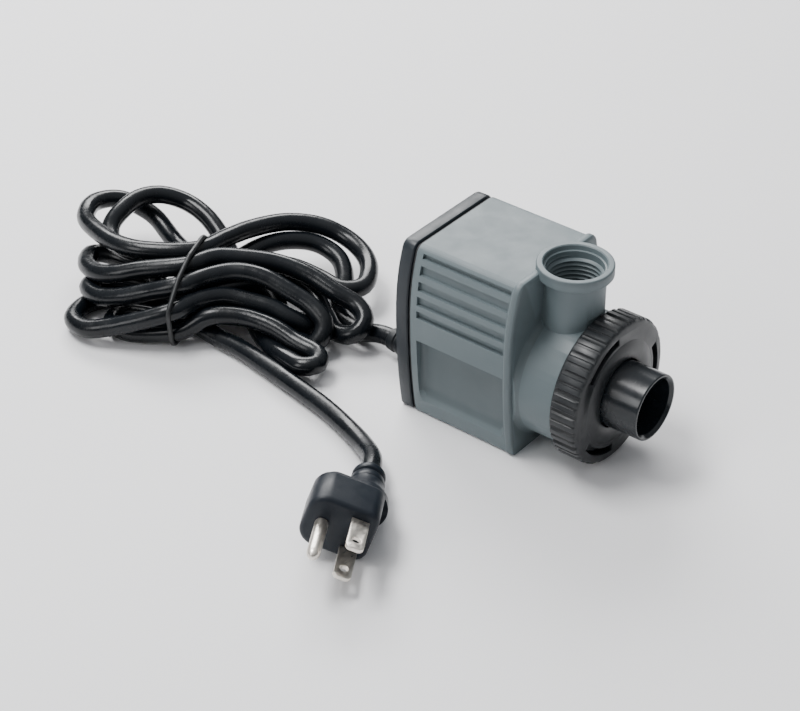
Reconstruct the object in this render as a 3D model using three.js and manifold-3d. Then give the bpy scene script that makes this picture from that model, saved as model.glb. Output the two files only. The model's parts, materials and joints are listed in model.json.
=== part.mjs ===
// Submersible fountain pump: a moulded motor housing with a rear cover, a magnetic-drive rotor in a
// sealed well, a volute with a threaded outlet on top, and a hose spigot held by a knurled union ring.
// Units are millimetres, +Z up. The pump axis runs along Y, with the inlet facing -Y and the cord at +Y.
import * as THREE from 'three';
import { mergeVertices } from 'three/addons/utils/BufferGeometryUtils.js';
import Module from 'manifold-3d';

const wasm = await Module();
wasm.setup();

// Stations along the pump axis, from the cord end to the inlet end
const COVER_BACK = 48.15;
const COVER_FRONT = 42.3;
const HOUSING_BACK = 41.0;
const HOUSING_FRONT = -4.45;
const CAVITY_FRONT = 1.5;
const RING_BACK = -21.55;
const RING_FRONT = -32.95;
const SPIGOT_END = -48.15;

// Fits
const GAP = 0.3;
const ROUND_STEPS = 48;
const SMALL_STEPS = 24;

// Housing cross-section: upright sides that swell outwards, flat top and foot
const AXIS_Z = 28.6;
const BODY_HEIGHT = 72.3;
const BODY_TOP_HALF = 23.5;
const BODY_FOOT_HALF = 23.4;
const BODY_BELLY_HALF = 27.2;
const BODY_BELLY_Z = 45;
const TOP_CORNER = 4;
const FOOT_CORNER = 1.8;
const FLANGE_PROUD = 0.8;
const FLANGE_WIDTH = 3.2;
const SIDE_BORDER = 3;

// Side ribs and the recessed hand panel
const RIB_PITCH = 6;
const RIB_HEIGHT = 2.4;
const RIB_COUNT = 4;
const FIRST_RIB_TOP = 68.2;
const TOP_GROOVE = 2;
const LAST_GROOVE = 3;
const GROOVE_DEPTH = 1.4;
const PANEL_TOP = 34.8;
const PANEL_FOOT = 7;
const PANEL_LEDGE = 5;
const PANEL_FLOOR_HALF = 22.6;

// Motor cavity and rotor well
const CAVITY_HALF = 20;
const CAVITY_FOOT = 3;
const CAVITY_TOP = 69;
const CAVITY_CORNER = 3;
const WELL_OUTER = 11;
const WELL_INNER = 9.4;
const WELL_BACK = 32.5;
const WELL_FLOOR = 27;
const BUSH_SOCKET = 5;
const BUSH_SOCKET_BACK = 30.5;

// Volute, outlet neck and union thread
const VOLUTE_OUTER = 25.4;
const CHAMBER_RADIUS = 19.5;
const CHAMBER_BACK = -8;
const THREAD_OUTER = 24.6;
const THREAD_FRONT = -27.3;
const OUTLET_Y = -11.25;
const OUTLET_TOP = 75;
const OUTLET_RIM = 13.94;
const OUTLET_RIM_HEIGHT = 4.2;
const OUTLET_NECK = 11.3;
const OUTLET_MOUTH = 11.5;
const OUTLET_MOUTH_DEPTH = 1.6;
const OUTLET_THREAD = 9.35;
const OUTLET_FLOOR = 42;

// Inlet cap with its spigot, and the union ring
const SPIGOT_OUTER = 12.7;
const SPIGOT_INNER = 10.8;
const CAP_INNER_FACE = -20.5;
const CAP_PLUG = 19.2;
const CAP_FLANGE = 23.9;
const CAP_FLANGE_BACK = -27.6;
const CAP_FLANGE_FRONT = -30.1;
const SEAL_CENTRE = -24.3;
const SEAL_RADIUS = 0.85;
const RING_OUTER = 28.3;
const RING_GROOVE = 27.3;
const RING_TEETH = 24;
const RING_HOLE = 13.3;
const RING_WALL_BACK = -30.4;
const RING_SLOT_INNER = 21.6;
const RING_SLOT_SWEEP = 48;
const RING_BEAD_MIDDLE = 17;
const RING_BEAD_PROUD = 1.1;

// Rotor train on its fixed ceramic shaft
const SHAFT_RADIUS = 1.5;
const SHAFT_BORE = 1.8;
const SHAFT_BACK = 30;
const SHAFT_FRONT = -23.5;
const MAGNET_RADIUS = 8.7;
const MAGNET_FRONT = 0.8;
const MAGNET_BACK = 24.5;
const SLEEVE_RADIUS = 3.2;
const DRIVER_FRONT = -1.2;
const DRIVER_RADIUS = 8.3;
const DOG_INNER = 3.9;
const DOG_OUTER = 7;
const DOG_SWEEP = 50;
const IMPELLER_RADIUS = 16.5;
const IMPELLER_PLATE_BACK = -9.2;
const IMPELLER_PLATE_FRONT = -10.4;
const VANE_FRONT = -17.4;
const VANE_COUNT = 6;

// Stator: a laminated core with one coil on each leg
const STACK_FRONT = 6;
const STACK_BACK = 28;
const LEG_CENTRE = 10;
const LEG_HALF = 3;
const CORE_OUTER_HALF = 18;
const CORE_FOOT = 15;
const CORE_SHOE_TOP = 42;
const CORE_TOP = 66;
const YOKE_FOOT = 60;
const POLE_GAP_HALF = 3;
const BOBBIN_FOOT = 43;
const BOBBIN_TOP = 59.2;
const BOBBIN_WALL = 1.2;

// Mains cord
const CORD_RADIUS = 3.75;
const EXIT_X = 0;
const EXIT_Z = 7.2;
const RELIEF_STUB = 3.8;
const RELIEF_END = 71;
const CORD_REST_Z = 3.9;
const HANK_FOOT = 0;
const HANK_TOP = 29;
const TIE_RADIUS = 1;

// Coil bobbin flanges and the windings between them
const COIL_FLANGE_X = 8.6;
const COIL_FLANGE_Y = 15;
const COIL_WINDOW_Y = 12.6;

// Bushes and thrust washers on the shaft, each from one station to another
const WASHER_RADIUS = 4;
const FRONT_BUSH_RADIUS = 4.2;
const REAR_BUSH_SPAN = [26.8, 30.2];
const REAR_WASHER_SPAN = [25.2, 26.4];
const FRONT_WASHER_SPAN = [-19.6, -18.4];
const FRONT_BUSH_SPAN = [-24, -20];

// Where the three inner wires end, on the coils and on the core
const WIRE_SPACING = 2.4;
const WIRE_RADIUS = 0.8;
const COIL_TAP_X = 11;
const COIL_TAP_Y = 33.4;
const COIL_TAP_Z = 49;
const CORE_TAP_X = 15;
const CORE_TAP_Z = 20;

// Mains plug: its front face, the way its blades point, and how it lies
const PLUG_FACE = [-105.9, 2.35, 12.6];
const PLUG_HEADING = 211.5;
const PLUG_TILT = 5;
const PLUG_ROLL = -19.5;
const PLUG_BODY_LENGTH = 29;
const PLUG_COLLAR_END = 40;
const BLADE_LENGTH = 17;
const BLADE_WIDTH = 6.35;
const BLADE_THICK = 1.5;
const BLADE_SPACING = 12.7;
const PIN_RADIUS = 2.38;
const PIN_OFFSET = 11.9;
const PIN_LENGTH = 20.5;

const degrees = THREE.MathUtils.degToRad;

// ---- Solid helpers ----

function solidOf(geometry) {
  const bare = geometry.index ? geometry.toNonIndexed() : geometry.clone();
  bare.deleteAttribute('normal');
  bare.deleteAttribute('uv');
  const merged = mergeVertices(bare, 1e-4);
  const index = merged.index.array;
  const triangles = [];
  for (let i = 0; i < index.length; i += 3) {
    const [a, b, c] = [index[i], index[i + 1], index[i + 2]];
    if (a !== b && b !== c && c !== a) triangles.push(a, b, c);
  }
  const mesh = new wasm.Mesh({
    numProp: 3,
    vertProperties: new Float32Array(merged.attributes.position.array),
    triVerts: new Uint32Array(triangles),
  });
  return new wasm.Manifold(mesh);
}

function geometryOf(solid) {
  const mesh = solid.getMesh();
  const geometry = new THREE.BufferGeometry();
  geometry.setAttribute('position', new THREE.BufferAttribute(new Float32Array(mesh.vertProperties), 3));
  geometry.setIndex(new THREE.BufferAttribute(new Uint32Array(mesh.triVerts), 1));
  geometry.computeVertexNormals();
  return geometry;
}

function join(solids) {
  return solids.reduce((whole, solid) => whole.add(solid));
}

function block(x0, x1, y0, y1, z0, z1) {
  const geometry = new THREE.BoxGeometry(x1 - x0, y1 - y0, z1 - z0);
  geometry.translate((x0 + x1) / 2, (y0 + y1) / 2, (z0 + z1) / 2);
  return solidOf(geometry);
}

// Outline in X and Z, pushed along Y between two stations
function prismAlongY(shape, back, front, steps = 6) {
  const geometry = new THREE.ExtrudeGeometry(shape, {
    depth: back - front,
    bevelEnabled: false,
    curveSegments: steps,
  });
  geometry.rotateX(Math.PI / 2);
  geometry.translate(0, back, 0);
  return solidOf(geometry);
}

// Closed profile of [radius, station] pairs, turned about the Y axis and moved to height z
function turnedAlongY(profile, x = 0, z = AXIS_Z, steps = ROUND_STEPS) {
  const points = profile.map(([radius, y]) => new THREE.Vector2(radius, y));
  if (THREE.ShapeUtils.area(points) < 0) points.reverse();
  points.push(points[0].clone());
  const geometry = new THREE.LatheGeometry(points, steps);
  geometry.translate(x, 0, z);
  return solidOf(geometry);
}

function turnedAlongZ(profile, y, steps = ROUND_STEPS) {
  const solid = turnedAlongY(profile, 0, 0, steps);
  const geometry = geometryOf(solid);
  geometry.rotateX(Math.PI / 2);
  geometry.translate(0, y, 0);
  return solidOf(geometry);
}

function rod(radius, y0, y1, x = 0, z = AXIS_Z, steps = ROUND_STEPS) {
  return turnedAlongY([[0, y0], [radius, y0], [radius, y1], [0, y1]], x, z, steps);
}

function sleeve(outer, inner, y0, y1, x = 0, z = AXIS_Z, steps = ROUND_STEPS) {
  return turnedAlongY([[inner, y0], [outer, y0], [outer, y1], [inner, y1]], x, z, steps);
}

// Short sleeve round the shaft, between two stations
function smallSleeve(outer, y0, y1) {
  return sleeve(outer, SHAFT_BORE, y0, y1, 0, AXIS_Z, SMALL_STEPS);
}

function upright(radius, z0, z1, y) {
  return turnedAlongZ([[0, z0], [radius, z0], [radius, z1], [0, z1]], y);
}

// Sector of a ring about the pump axis, centred on an angle from +X towards +Z
function ringSector(inner, outer, middle, sweep, back, front) {
  const shape = new THREE.Shape();
  const start = degrees(middle - sweep / 2);
  const end = degrees(middle + sweep / 2);
  shape.absarc(0, AXIS_Z, outer, start, end, false);
  shape.absarc(0, AXIS_Z, inner, end, start, true);
  return prismAlongY(shape, back, front, 8);
}

function roundedRectangle(halfWidth, z0, z1, corner, centreX = 0) {
  const shape = new THREE.Shape();
  const x0 = centreX - halfWidth;
  const x1 = centreX + halfWidth;
  shape.moveTo(x0 + corner, z0);
  shape.lineTo(x1 - corner, z0);
  shape.absarc(x1 - corner, z0 + corner, corner, -Math.PI / 2, 0, false);
  shape.lineTo(x1, z1 - corner);
  shape.absarc(x1 - corner, z1 - corner, corner, 0, Math.PI / 2, false);
  shape.lineTo(x0 + corner, z1);
  shape.absarc(x0 + corner, z1 - corner, corner, Math.PI / 2, Math.PI, false);
  shape.lineTo(x0, z0 + corner);
  shape.absarc(x0 + corner, z0 + corner, corner, Math.PI, Math.PI * 1.5, false);
  return shape;
}

function tubeAlong(points, radius, sides = 10, steps = 16) {
  const path = new THREE.CatmullRomCurve3(points.map((point) => new THREE.Vector3(...point)));
  const section = new THREE.Shape();
  for (let side = 0; side < sides; side += 1) {
    const angle = (side / sides) * Math.PI * 2;
    const [x, y] = [radius * Math.cos(angle), radius * Math.sin(angle)];
    if (side === 0) section.moveTo(x, y);
    else section.lineTo(x, y);
  }
  return solidOf(new THREE.ExtrudeGeometry(section, { steps, extrudePath: path, bevelEnabled: false }));
}

function piece(name, solid, look) {
  const mesh = new THREE.Mesh(geometryOf(solid), new THREE.MeshStandardMaterial(look));
  mesh.name = name;
  return mesh;
}

// ---- Looks ----

const HOUSING_PLASTIC = { color: 0x6f7c82, roughness: 0.5, metalness: 0 };
const DARK_PLASTIC = { color: 0x2d3338, roughness: 0.5, metalness: 0 };
const GLOSS_PLASTIC = { color: 0x191e22, roughness: 0.25, metalness: 0 };
const IMPELLER_PLASTIC = { color: 0xd8d8d2, roughness: 0.45, metalness: 0 };
const BOBBIN_PLASTIC = { color: 0xe4e0d4, roughness: 0.5, metalness: 0 };
const BLACK_RUBBER = { color: 0x15171a, roughness: 0.6, metalness: 0 };
const CORD_JACKET = { color: 0x0d0f12, roughness: 0.3, metalness: 0 };
const COPPER = { color: 0xb56a3a, roughness: 0.35, metalness: 1 };
const CORE_STEEL = { color: 0x7d8084, roughness: 0.45, metalness: 1 };
const FERRITE = { color: 0x303234, roughness: 0.55, metalness: 0.3 };
const CERAMIC = { color: 0xf0efe9, roughness: 0.25, metalness: 0 };
const RESIN = { color: 0x1c1a18, roughness: 0.35, metalness: 0 };
const NICKEL = { color: 0xb9b4aa, roughness: 0.25, metalness: 1 };
const LIVE_JACKET = { color: 0x161616, roughness: 0.4, metalness: 0 };
const NEUTRAL_JACKET = { color: 0xe8e8e4, roughness: 0.4, metalness: 0 };
const GROUND_JACKET = { color: 0x2f7a45, roughness: 0.4, metalness: 0 };

// ---- Casings ----

// Half of the housing's section, from the foot up the swelling side to the top, then mirrored
function bodyOutline(inset = 0) {
  const low = Math.max(inset, 0);
  const high = BODY_HEIGHT - inset;
  const foot = BODY_FOOT_HALF - inset;
  const belly = BODY_BELLY_HALF - inset;
  const top = BODY_TOP_HALF - inset;
  const footCorner = Math.max(FOOT_CORNER - inset, 0.4);
  const topCorner = Math.max(TOP_CORNER - inset, 0.8);
  const side = new THREE.Path();
  side.moveTo(foot - footCorner, low);
  side.quadraticCurveTo(foot, low, foot + 0.2, low + footCorner);
  side.quadraticCurveTo(belly, BODY_BELLY_Z * 0.5, belly, BODY_BELLY_Z);
  side.quadraticCurveTo(belly, (BODY_BELLY_Z + high) / 2, top + 0.3, high - topCorner);
  side.quadraticCurveTo(top - 0.4, high, top - topCorner, high);
  const right = side.getPoints(5);
  const left = right.map((point) => new THREE.Vector2(-point.x, point.y)).reverse();
  return new THREE.Shape([...right, ...left]);
}

function cavityOutline(inset = 0) {
  const [foot, top] = [CAVITY_FOOT + inset, CAVITY_TOP - inset];
  return roundedRectangle(CAVITY_HALF - inset, foot, top, CAVITY_CORNER - inset * 0.5);
}

function sideGrooves() {
  const levels = [[FIRST_RIB_TOP, FIRST_RIB_TOP + TOP_GROOVE]];
  for (let rib = 0; rib < RIB_COUNT; rib += 1) {
    const ribFoot = FIRST_RIB_TOP - rib * RIB_PITCH - RIB_HEIGHT;
    const grooveFoot = rib === RIB_COUNT - 1 ? ribFoot - LAST_GROOVE : ribFoot - RIB_PITCH + RIB_HEIGHT;
    levels.push([grooveFoot, ribFoot]);
  }
  const back = HOUSING_BACK - SIDE_BORDER;
  const front = HOUSING_FRONT + FLANGE_WIDTH + 0.5;
  const slabs = levels.map(([low, high]) => block(-40, 40, front, back, low, high));
  return join(slabs).subtract(prismAlongY(bodyOutline(GROOVE_DEPTH), back + 1, front - 1));
}

function sidePanel(sign) {
  const shape = new THREE.Shape();
  shape.moveTo(sign * 35, PANEL_FOOT - PANEL_LEDGE * 2);
  shape.lineTo(sign * (BODY_FOOT_HALF + 1), PANEL_FOOT);
  shape.lineTo(sign * PANEL_FLOOR_HALF, PANEL_FOOT + PANEL_LEDGE);
  shape.lineTo(sign * PANEL_FLOOR_HALF, PANEL_TOP);
  shape.lineTo(sign * 35, PANEL_TOP);
  return prismAlongY(shape, HOUSING_BACK - SIDE_BORDER, HOUSING_FRONT + FLANGE_WIDTH + 0.5);
}

function outletNeck() {
  const neck = upright(OUTLET_NECK, AXIS_Z + 15, OUTLET_TOP - 1, OUTLET_Y);
  const rim = upright(OUTLET_RIM, OUTLET_TOP - OUTLET_RIM_HEIGHT, OUTLET_TOP, OUTLET_Y);
  const ringSpace = rod(RING_OUTER + 0.7, RING_FRONT, RING_BACK + GAP);
  return neck.add(rim).subtract(ringSpace);
}

function outletBore() {
  const profile = [
    [0, OUTLET_FLOOR],
    [OUTLET_THREAD, OUTLET_FLOOR],
    [OUTLET_THREAD, OUTLET_TOP - OUTLET_MOUTH_DEPTH * 2],
    [OUTLET_MOUTH, OUTLET_TOP - OUTLET_MOUTH_DEPTH],
    [OUTLET_MOUTH, OUTLET_TOP + 1],
    [0, OUTLET_TOP + 1],
  ];
  return turnedAlongZ(profile, OUTLET_Y);
}

function motorHousing() {
  const shell = prismAlongY(bodyOutline(), HOUSING_BACK, HOUSING_FRONT);
  const flange = prismAlongY(bodyOutline(-FLANGE_PROUD), HOUSING_FRONT + FLANGE_WIDTH, HOUSING_FRONT);
  const volute = rod(VOLUTE_OUTER, HOUSING_FRONT + 1, RING_BACK + GAP);
  const collar = rod(THREAD_OUTER, RING_BACK + 1, THREAD_FRONT);
  const cavity = prismAlongY(cavityOutline(), HOUSING_BACK + 1, CAVITY_FRONT);
  const well = rod(WELL_OUTER, WELL_BACK, CAVITY_FRONT - 1);
  const casing = join([shell, flange, outletNeck(), volute, collar])
    .subtract(sideGrooves())
    .subtract(sidePanel(1))
    .subtract(sidePanel(-1))
    .subtract(cavity)
    .add(well);
  const chamber = rod(CHAMBER_RADIUS, CHAMBER_BACK, THREAD_FRONT - 1);
  const wellBore = rod(WELL_INNER, WELL_FLOOR, CHAMBER_BACK - 1);
  const bushSocket = rod(BUSH_SOCKET, BUSH_SOCKET_BACK, WELL_FLOOR - 1);
  return casing.subtract(join([chamber, wellBore, bushSocket])).subtract(outletBore());
}

function rearCover() {
  const cap = prismAlongY(bodyOutline(), COVER_BACK - 1, COVER_FRONT);
  const crown = prismAlongY(bodyOutline(1), COVER_BACK, COVER_BACK - 1.5);
  const lip = prismAlongY(cavityOutline(0.4), COVER_FRONT + 0.5, HOUSING_BACK - 1.5);
  const lipHollow = prismAlongY(cavityOutline(2.2), COVER_FRONT, HOUSING_BACK - 2);
  const cordHole = rod(RELIEF_STUB + GAP, COVER_BACK + 1, HOUSING_BACK - 3, EXIT_X, EXIT_Z, SMALL_STEPS);
  return cap.add(crown).add(lip.subtract(lipHollow)).subtract(cordHole);
}

function coverGasket() {
  const [back, front] = [COVER_FRONT - GAP, HOUSING_BACK + GAP];
  const sheet = prismAlongY(bodyOutline(0.9), back, front);
  return sheet.subtract(prismAlongY(cavityOutline(-0.2), back + 1, front - 1));
}

function pottingResin() {
  const [back, front] = [HOUSING_BACK - 1.8, HOUSING_BACK - 4.2];
  const slab = prismAlongY(cavityOutline(GAP), back, front);
  return slab.subtract(rod(RELIEF_STUB + GAP, back + 1, front - 1, EXIT_X, EXIT_Z, SMALL_STEPS));
}

// ---- Stator ----

function statorCore() {
  const yokeHalf = LEG_CENTRE + LEG_HALF;
  const yoke = block(-yokeHalf, yokeHalf, STACK_FRONT, STACK_BACK, YOKE_FOOT, CORE_TOP);
  const parts = [yoke];
  for (const sign of [-1, 1]) {
    const [legA, legB] = [sign * (LEG_CENTRE - LEG_HALF), sign * (LEG_CENTRE + LEG_HALF)];
    const [shoeA, shoeB] = [sign * POLE_GAP_HALF, sign * CORE_OUTER_HALF];
    const leg = [Math.min(legA, legB), Math.max(legA, legB)];
    const shoe = [Math.min(shoeA, shoeB), Math.max(shoeA, shoeB)];
    parts.push(block(...leg, STACK_FRONT, STACK_BACK, CORE_SHOE_TOP - 1, YOKE_FOOT + 1));
    parts.push(block(...shoe, STACK_FRONT, STACK_BACK, CORE_FOOT, CORE_SHOE_TOP));
  }
  return join(parts).subtract(rod(WELL_OUTER + 0.4, STACK_FRONT - 1, STACK_BACK + 1));
}

// Frame around a core leg: half sizes across X and along Y, with a window for the leg
function legFrame(sign, halfX, halfY, windowX, windowY, z0, z1) {
  const [x, y] = [sign * LEG_CENTRE, (STACK_FRONT + STACK_BACK) / 2];
  const outer = block(x - halfX, x + halfX, y - halfY, y + halfY, z0, z1);
  return outer.subtract(block(x - windowX, x + windowX, y - windowY, y + windowY, z0 - 1, z1 + 1));
}

function coilBobbin(sign) {
  const [windowX, windowY] = [LEG_HALF + GAP, (STACK_BACK - STACK_FRONT) / 2 + GAP];
  const spool = legFrame(sign, windowX + BOBBIN_WALL, windowY + 1, windowX, windowY, BOBBIN_FOOT, BOBBIN_TOP);
  const flange = (z0, z1) => legFrame(sign, COIL_FLANGE_X, COIL_FLANGE_Y, windowX, windowY, z0, z1);
  const lower = flange(BOBBIN_FOOT, BOBBIN_FOOT + BOBBIN_WALL);
  const upper = flange(BOBBIN_TOP - BOBBIN_WALL, BOBBIN_TOP);
  return join([spool, lower, upper]);
}

function coilWinding(sign) {
  const [foot, top] = [BOBBIN_FOOT + BOBBIN_WALL + GAP, BOBBIN_TOP - BOBBIN_WALL - GAP];
  const [outX, outY] = [COIL_FLANGE_X - 0.4, COIL_FLANGE_Y - GAP];
  return legFrame(sign, outX, outY, LEG_HALF + BOBBIN_WALL + GAP * 2, COIL_WINDOW_Y, foot, top);
}

// ---- Rotor train ----

function magnetSleeve() {
  const tube = sleeve(SLEEVE_RADIUS, SHAFT_BORE, DRIVER_FRONT, MAGNET_BACK + 0.3, 0, AXIS_Z, SMALL_STEPS);
  const driver = sleeve(DRIVER_RADIUS, SHAFT_BORE, DRIVER_FRONT, MAGNET_FRONT - GAP);
  const dog = ringSector(DOG_INNER, DOG_OUTER, 90, DOG_SWEEP, DRIVER_FRONT + 0.5, DRIVER_FRONT - 3.8);
  return join([tube, driver, dog]);
}

function vane(index) {
  const turn = (index / VANE_COUNT) * Math.PI * 2;
  const shape = new THREE.Shape();
  const steps = 6;
  const edge = [];
  for (let step = 0; step <= steps; step += 1) {
    const along = step / steps;
    const radius = 5 + along * (IMPELLER_RADIUS - 5);
    edge.push([radius, turn + along * 0.7]);
  }
  const half = 0.6;
  const outline = [
    ...edge.map(([radius, angle]) => [radius, angle + half / radius]),
    ...edge.reverse().map(([radius, angle]) => [radius, angle - half / radius]),
  ];
  outline.forEach(([radius, angle], place) => {
    const [x, z] = [radius * Math.cos(angle), AXIS_Z + radius * Math.sin(angle)];
    if (place === 0) shape.moveTo(x, z);
    else shape.lineTo(x, z);
  });
  return prismAlongY(shape, IMPELLER_PLATE_FRONT + 0.4, VANE_FRONT);
}

function impeller() {
  const plate = sleeve(IMPELLER_RADIUS, SHAFT_BORE, IMPELLER_PLATE_FRONT, IMPELLER_PLATE_BACK);
  const boss = sleeve(5.4, SHAFT_BORE, VANE_FRONT - 0.6, IMPELLER_PLATE_BACK, 0, AXIS_Z, SMALL_STEPS);
  const tail = sleeve(3.5, SHAFT_BORE, IMPELLER_PLATE_BACK - 0.5, DRIVER_FRONT - 0.4, 0, AXIS_Z, SMALL_STEPS);
  const dog = ringSector(3, DOG_OUTER, 270, DOG_SWEEP, DRIVER_FRONT - 0.5, IMPELLER_PLATE_BACK - 0.5);
  const vanes = Array.from({ length: VANE_COUNT }, (_, index) => vane(index));
  return join([plate, boss, tail, dog, ...vanes]);
}

// ---- Inlet end ----

function inletCap() {
  const profile = [
    [SPIGOT_INNER, SPIGOT_END],
    [SPIGOT_OUTER - 0.4, SPIGOT_END],
    [SPIGOT_OUTER, SPIGOT_END + 0.6],
    [SPIGOT_OUTER, CAP_FLANGE_FRONT],
    [CAP_FLANGE, CAP_FLANGE_FRONT],
    [CAP_FLANGE, CAP_FLANGE_BACK],
    [CAP_PLUG, CAP_FLANGE_BACK],
    [CAP_PLUG, SEAL_CENTRE - 1.2],
    [CAP_PLUG - 2, SEAL_CENTRE - 1.2],
    [CAP_PLUG - 2, SEAL_CENTRE + 1.2],
    [CAP_PLUG, SEAL_CENTRE + 1.2],
    [CAP_PLUG, CAP_INNER_FACE],
    [SPIGOT_INNER, CAP_INNER_FACE],
  ];
  const shell = turnedAlongY(profile);
  const bushHolder = sleeve(6.2, 4.5, -24.3, CAP_INNER_FACE, 0, AXIS_Z, SMALL_STEPS);
  const spokes = [90, 210, 330].map((angle) => {
    const geometry = new THREE.BoxGeometry(6.4, 3.4, 1.6);
    geometry.translate(8.4, CAP_INNER_FACE - 2, 0);
    geometry.rotateY(-degrees(angle));
    geometry.translate(0, 0, AXIS_Z);
    return solidOf(geometry);
  });
  return join([shell, bushHolder, ...spokes]);
}

function unionRing() {
  const shape = new THREE.Shape();
  const pitch = (Math.PI * 2) / RING_TEETH;
  for (let tooth = 0; tooth < RING_TEETH; tooth += 1) {
    const corners = [[-0.36, RING_OUTER], [0.36, RING_OUTER], [0.42, RING_GROOVE], [0.58, RING_GROOVE]];
    corners.forEach(([part, radius], place) => {
      const angle = (tooth + part) * pitch;
      const [x, z] = [radius * Math.cos(angle), AXIS_Z + radius * Math.sin(angle)];
      if (tooth === 0 && place === 0) shape.moveTo(x, z);
      else shape.lineTo(x, z);
    });
  }
  const blank = prismAlongY(shape, RING_BACK, RING_FRONT);
  const bead = turnedAlongY([
    [RING_HOLE, RING_FRONT + 0.5],
    [RING_HOLE, RING_FRONT - RING_BEAD_PROUD * 0.6],
    [RING_BEAD_MIDDLE, RING_FRONT - RING_BEAD_PROUD],
    [RING_BEAD_MIDDLE + 3, RING_FRONT],
    [RING_BEAD_MIDDLE + 3, RING_FRONT + 0.5],
  ]);
  const threadBore = rod(THREAD_OUTER + GAP, RING_BACK + 1, RING_WALL_BACK);
  const hole = rod(RING_HOLE, RING_WALL_BACK + 1, RING_FRONT - 3);
  const slots = [120, 240, 0].map((angle) => {
    const outer = THREAD_OUTER + GAP - 0.4;
    return ringSector(RING_SLOT_INNER, outer, angle, RING_SLOT_SWEEP, RING_WALL_BACK + 1, RING_FRONT - 1);
  });
  return blank.add(bead).subtract(join([threadBore, hole, ...slots]));
}

function sealRing() {
  const section = [];
  const sides = 8;
  for (let side = 0; side < sides; side += 1) {
    const angle = (side / sides) * Math.PI * 2;
    const radius = CAP_PLUG - SEAL_RADIUS + SEAL_RADIUS * Math.cos(angle);
    section.push([radius, SEAL_CENTRE + SEAL_RADIUS * Math.sin(angle)]);
  }
  return turnedAlongY(section);
}

// ---- Cord ----

// Tapered relief moulded round the cord where it leaves the cover
function cordRelief() {
  const stub = HOUSING_BACK - 3.2;
  const profile = [
    [0, stub],
    [RELIEF_STUB, stub],
    [RELIEF_STUB, COVER_BACK + GAP],
    [6.4, COVER_BACK + GAP],
    [6.4, COVER_BACK + 1.8],
    [5.8, COVER_BACK + 2.4],
    [CORD_RADIUS + 0.7, RELIEF_END],
    [0, RELIEF_END],
  ];
  return turnedAlongY(profile, EXIT_X, EXIT_Z, SMALL_STEPS);
}

const LEAD_ROUTE = [[EXIT_X, RELIEF_END + GAP, EXIT_Z], [0, 74, 7], [0.1, 76.8, 6.8]];

const TAIL_ROUTE = [
  [-71.5, 23.4, 9.1],
  [-68.1, 25.5, 8.7],
  [-63, 29.9, 7.2],
  [-57.2, 38.5, 5.1],
  [-51.6, 51, CORD_REST_Z],
  [-47.4, 65, CORD_REST_Z],
  [-44.4, 80, CORD_REST_Z],
  [-41.8, 94, CORD_REST_Z],
  [-40.2, 103.5, CORD_REST_Z],
];

// Outer shape of the tied hank of cord, seen from above
const HANK_OUTLINE = [
  [1, 80.6], [17, 90], [31, 101], [37.3, 117], [35, 131], [25, 143], [5, 147.5], [-15, 152], [-5, 166],
  [10.5, 180], [8, 195], [-3, 210], [-17, 217], [-33, 211], [-52, 200], [-67, 187], [-71, 172], [-62, 156],
  [-47, 140], [-42.5, 123], [-37.5, 108.5], [-34, 93], [-36, 81], [-27, 74], [-13, 75.6],
];

// Where the tie crosses the hank: the far and the near side of its waist
const TIE_FAR = [-15, 152];
const TIE_NEAR = [-47, 140];

function cordHank() {
  const points = HANK_OUTLINE.map(([x, y]) => new THREE.Vector2(x, y));
  const outline = new THREE.SplineCurve([...points, points[0]]);
  const shape = new THREE.Shape(outline.getPoints(points.length * 2).slice(0, -1));
  const geometry = new THREE.ExtrudeGeometry(shape, { depth: HANK_TOP - HANK_FOOT, bevelEnabled: false });
  geometry.translate(0, 0, HANK_FOOT);
  return solidOf(geometry).subtract(tieBand(0.6, 3.2));
}

// Band round the hank's waist. A margin makes it thicker, to cut the groove that it lies in.
function tieBand(margin = 0, width = TIE_RADIUS * 2) {
  const length = Math.hypot(TIE_FAR[0] - TIE_NEAR[0], TIE_FAR[1] - TIE_NEAR[1]);
  const shape = new THREE.Shape();
  const half = length / 2 - 1 + TIE_RADIUS * 2;
  const inner = half - TIE_RADIUS * 2;
  const top = HANK_TOP - 0.8;
  const low = margin > 0 ? -1 : GAP;
  const outward = margin > 0 ? 6 : 0;
  shape.moveTo(-half - outward, low);
  shape.lineTo(half + outward, low);
  shape.lineTo(half + outward, top + outward);
  shape.lineTo(-half - outward, top + outward);
  const window = new THREE.Path();
  const [innerLow, innerTop] = [GAP + TIE_RADIUS * 2 + margin, top - TIE_RADIUS * 2 - margin];
  window.moveTo(-inner + margin, innerLow);
  window.lineTo(-inner + margin, innerTop);
  window.lineTo(inner - margin, innerTop);
  window.lineTo(inner - margin, innerLow);
  shape.holes.push(window);
  const geometry = new THREE.ExtrudeGeometry(shape, { depth: width, bevelEnabled: false });
  geometry.translate(0, 0, -width / 2);
  geometry.rotateX(Math.PI / 2);
  geometry.rotateZ(Math.atan2(TIE_FAR[1] - TIE_NEAR[1], TIE_FAR[0] - TIE_NEAR[0]));
  geometry.translate((TIE_FAR[0] + TIE_NEAR[0]) / 2, (TIE_FAR[1] + TIE_NEAR[1]) / 2, 0);
  return solidOf(geometry);
}

// Wires from the cord's inner end up to the coils and the core
function innerWire(startX, endX, endY, endZ) {
  const start = HOUSING_BACK - 4;
  const route = [
    [startX, start, EXIT_Z],
    [startX, start - 1.6, EXIT_Z + 0.6],
    [startX * 1.6, start - 2.4, EXIT_Z + 8],
    [endX, start - 2.4, endZ - 7],
    [endX, endY, endZ],
  ];
  return tubeAlong(route, WIRE_RADIUS, 8, 14);
}

// ---- Plug, drawn with the blades pointing along +X and the ground pin on the -Y side ----

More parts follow.
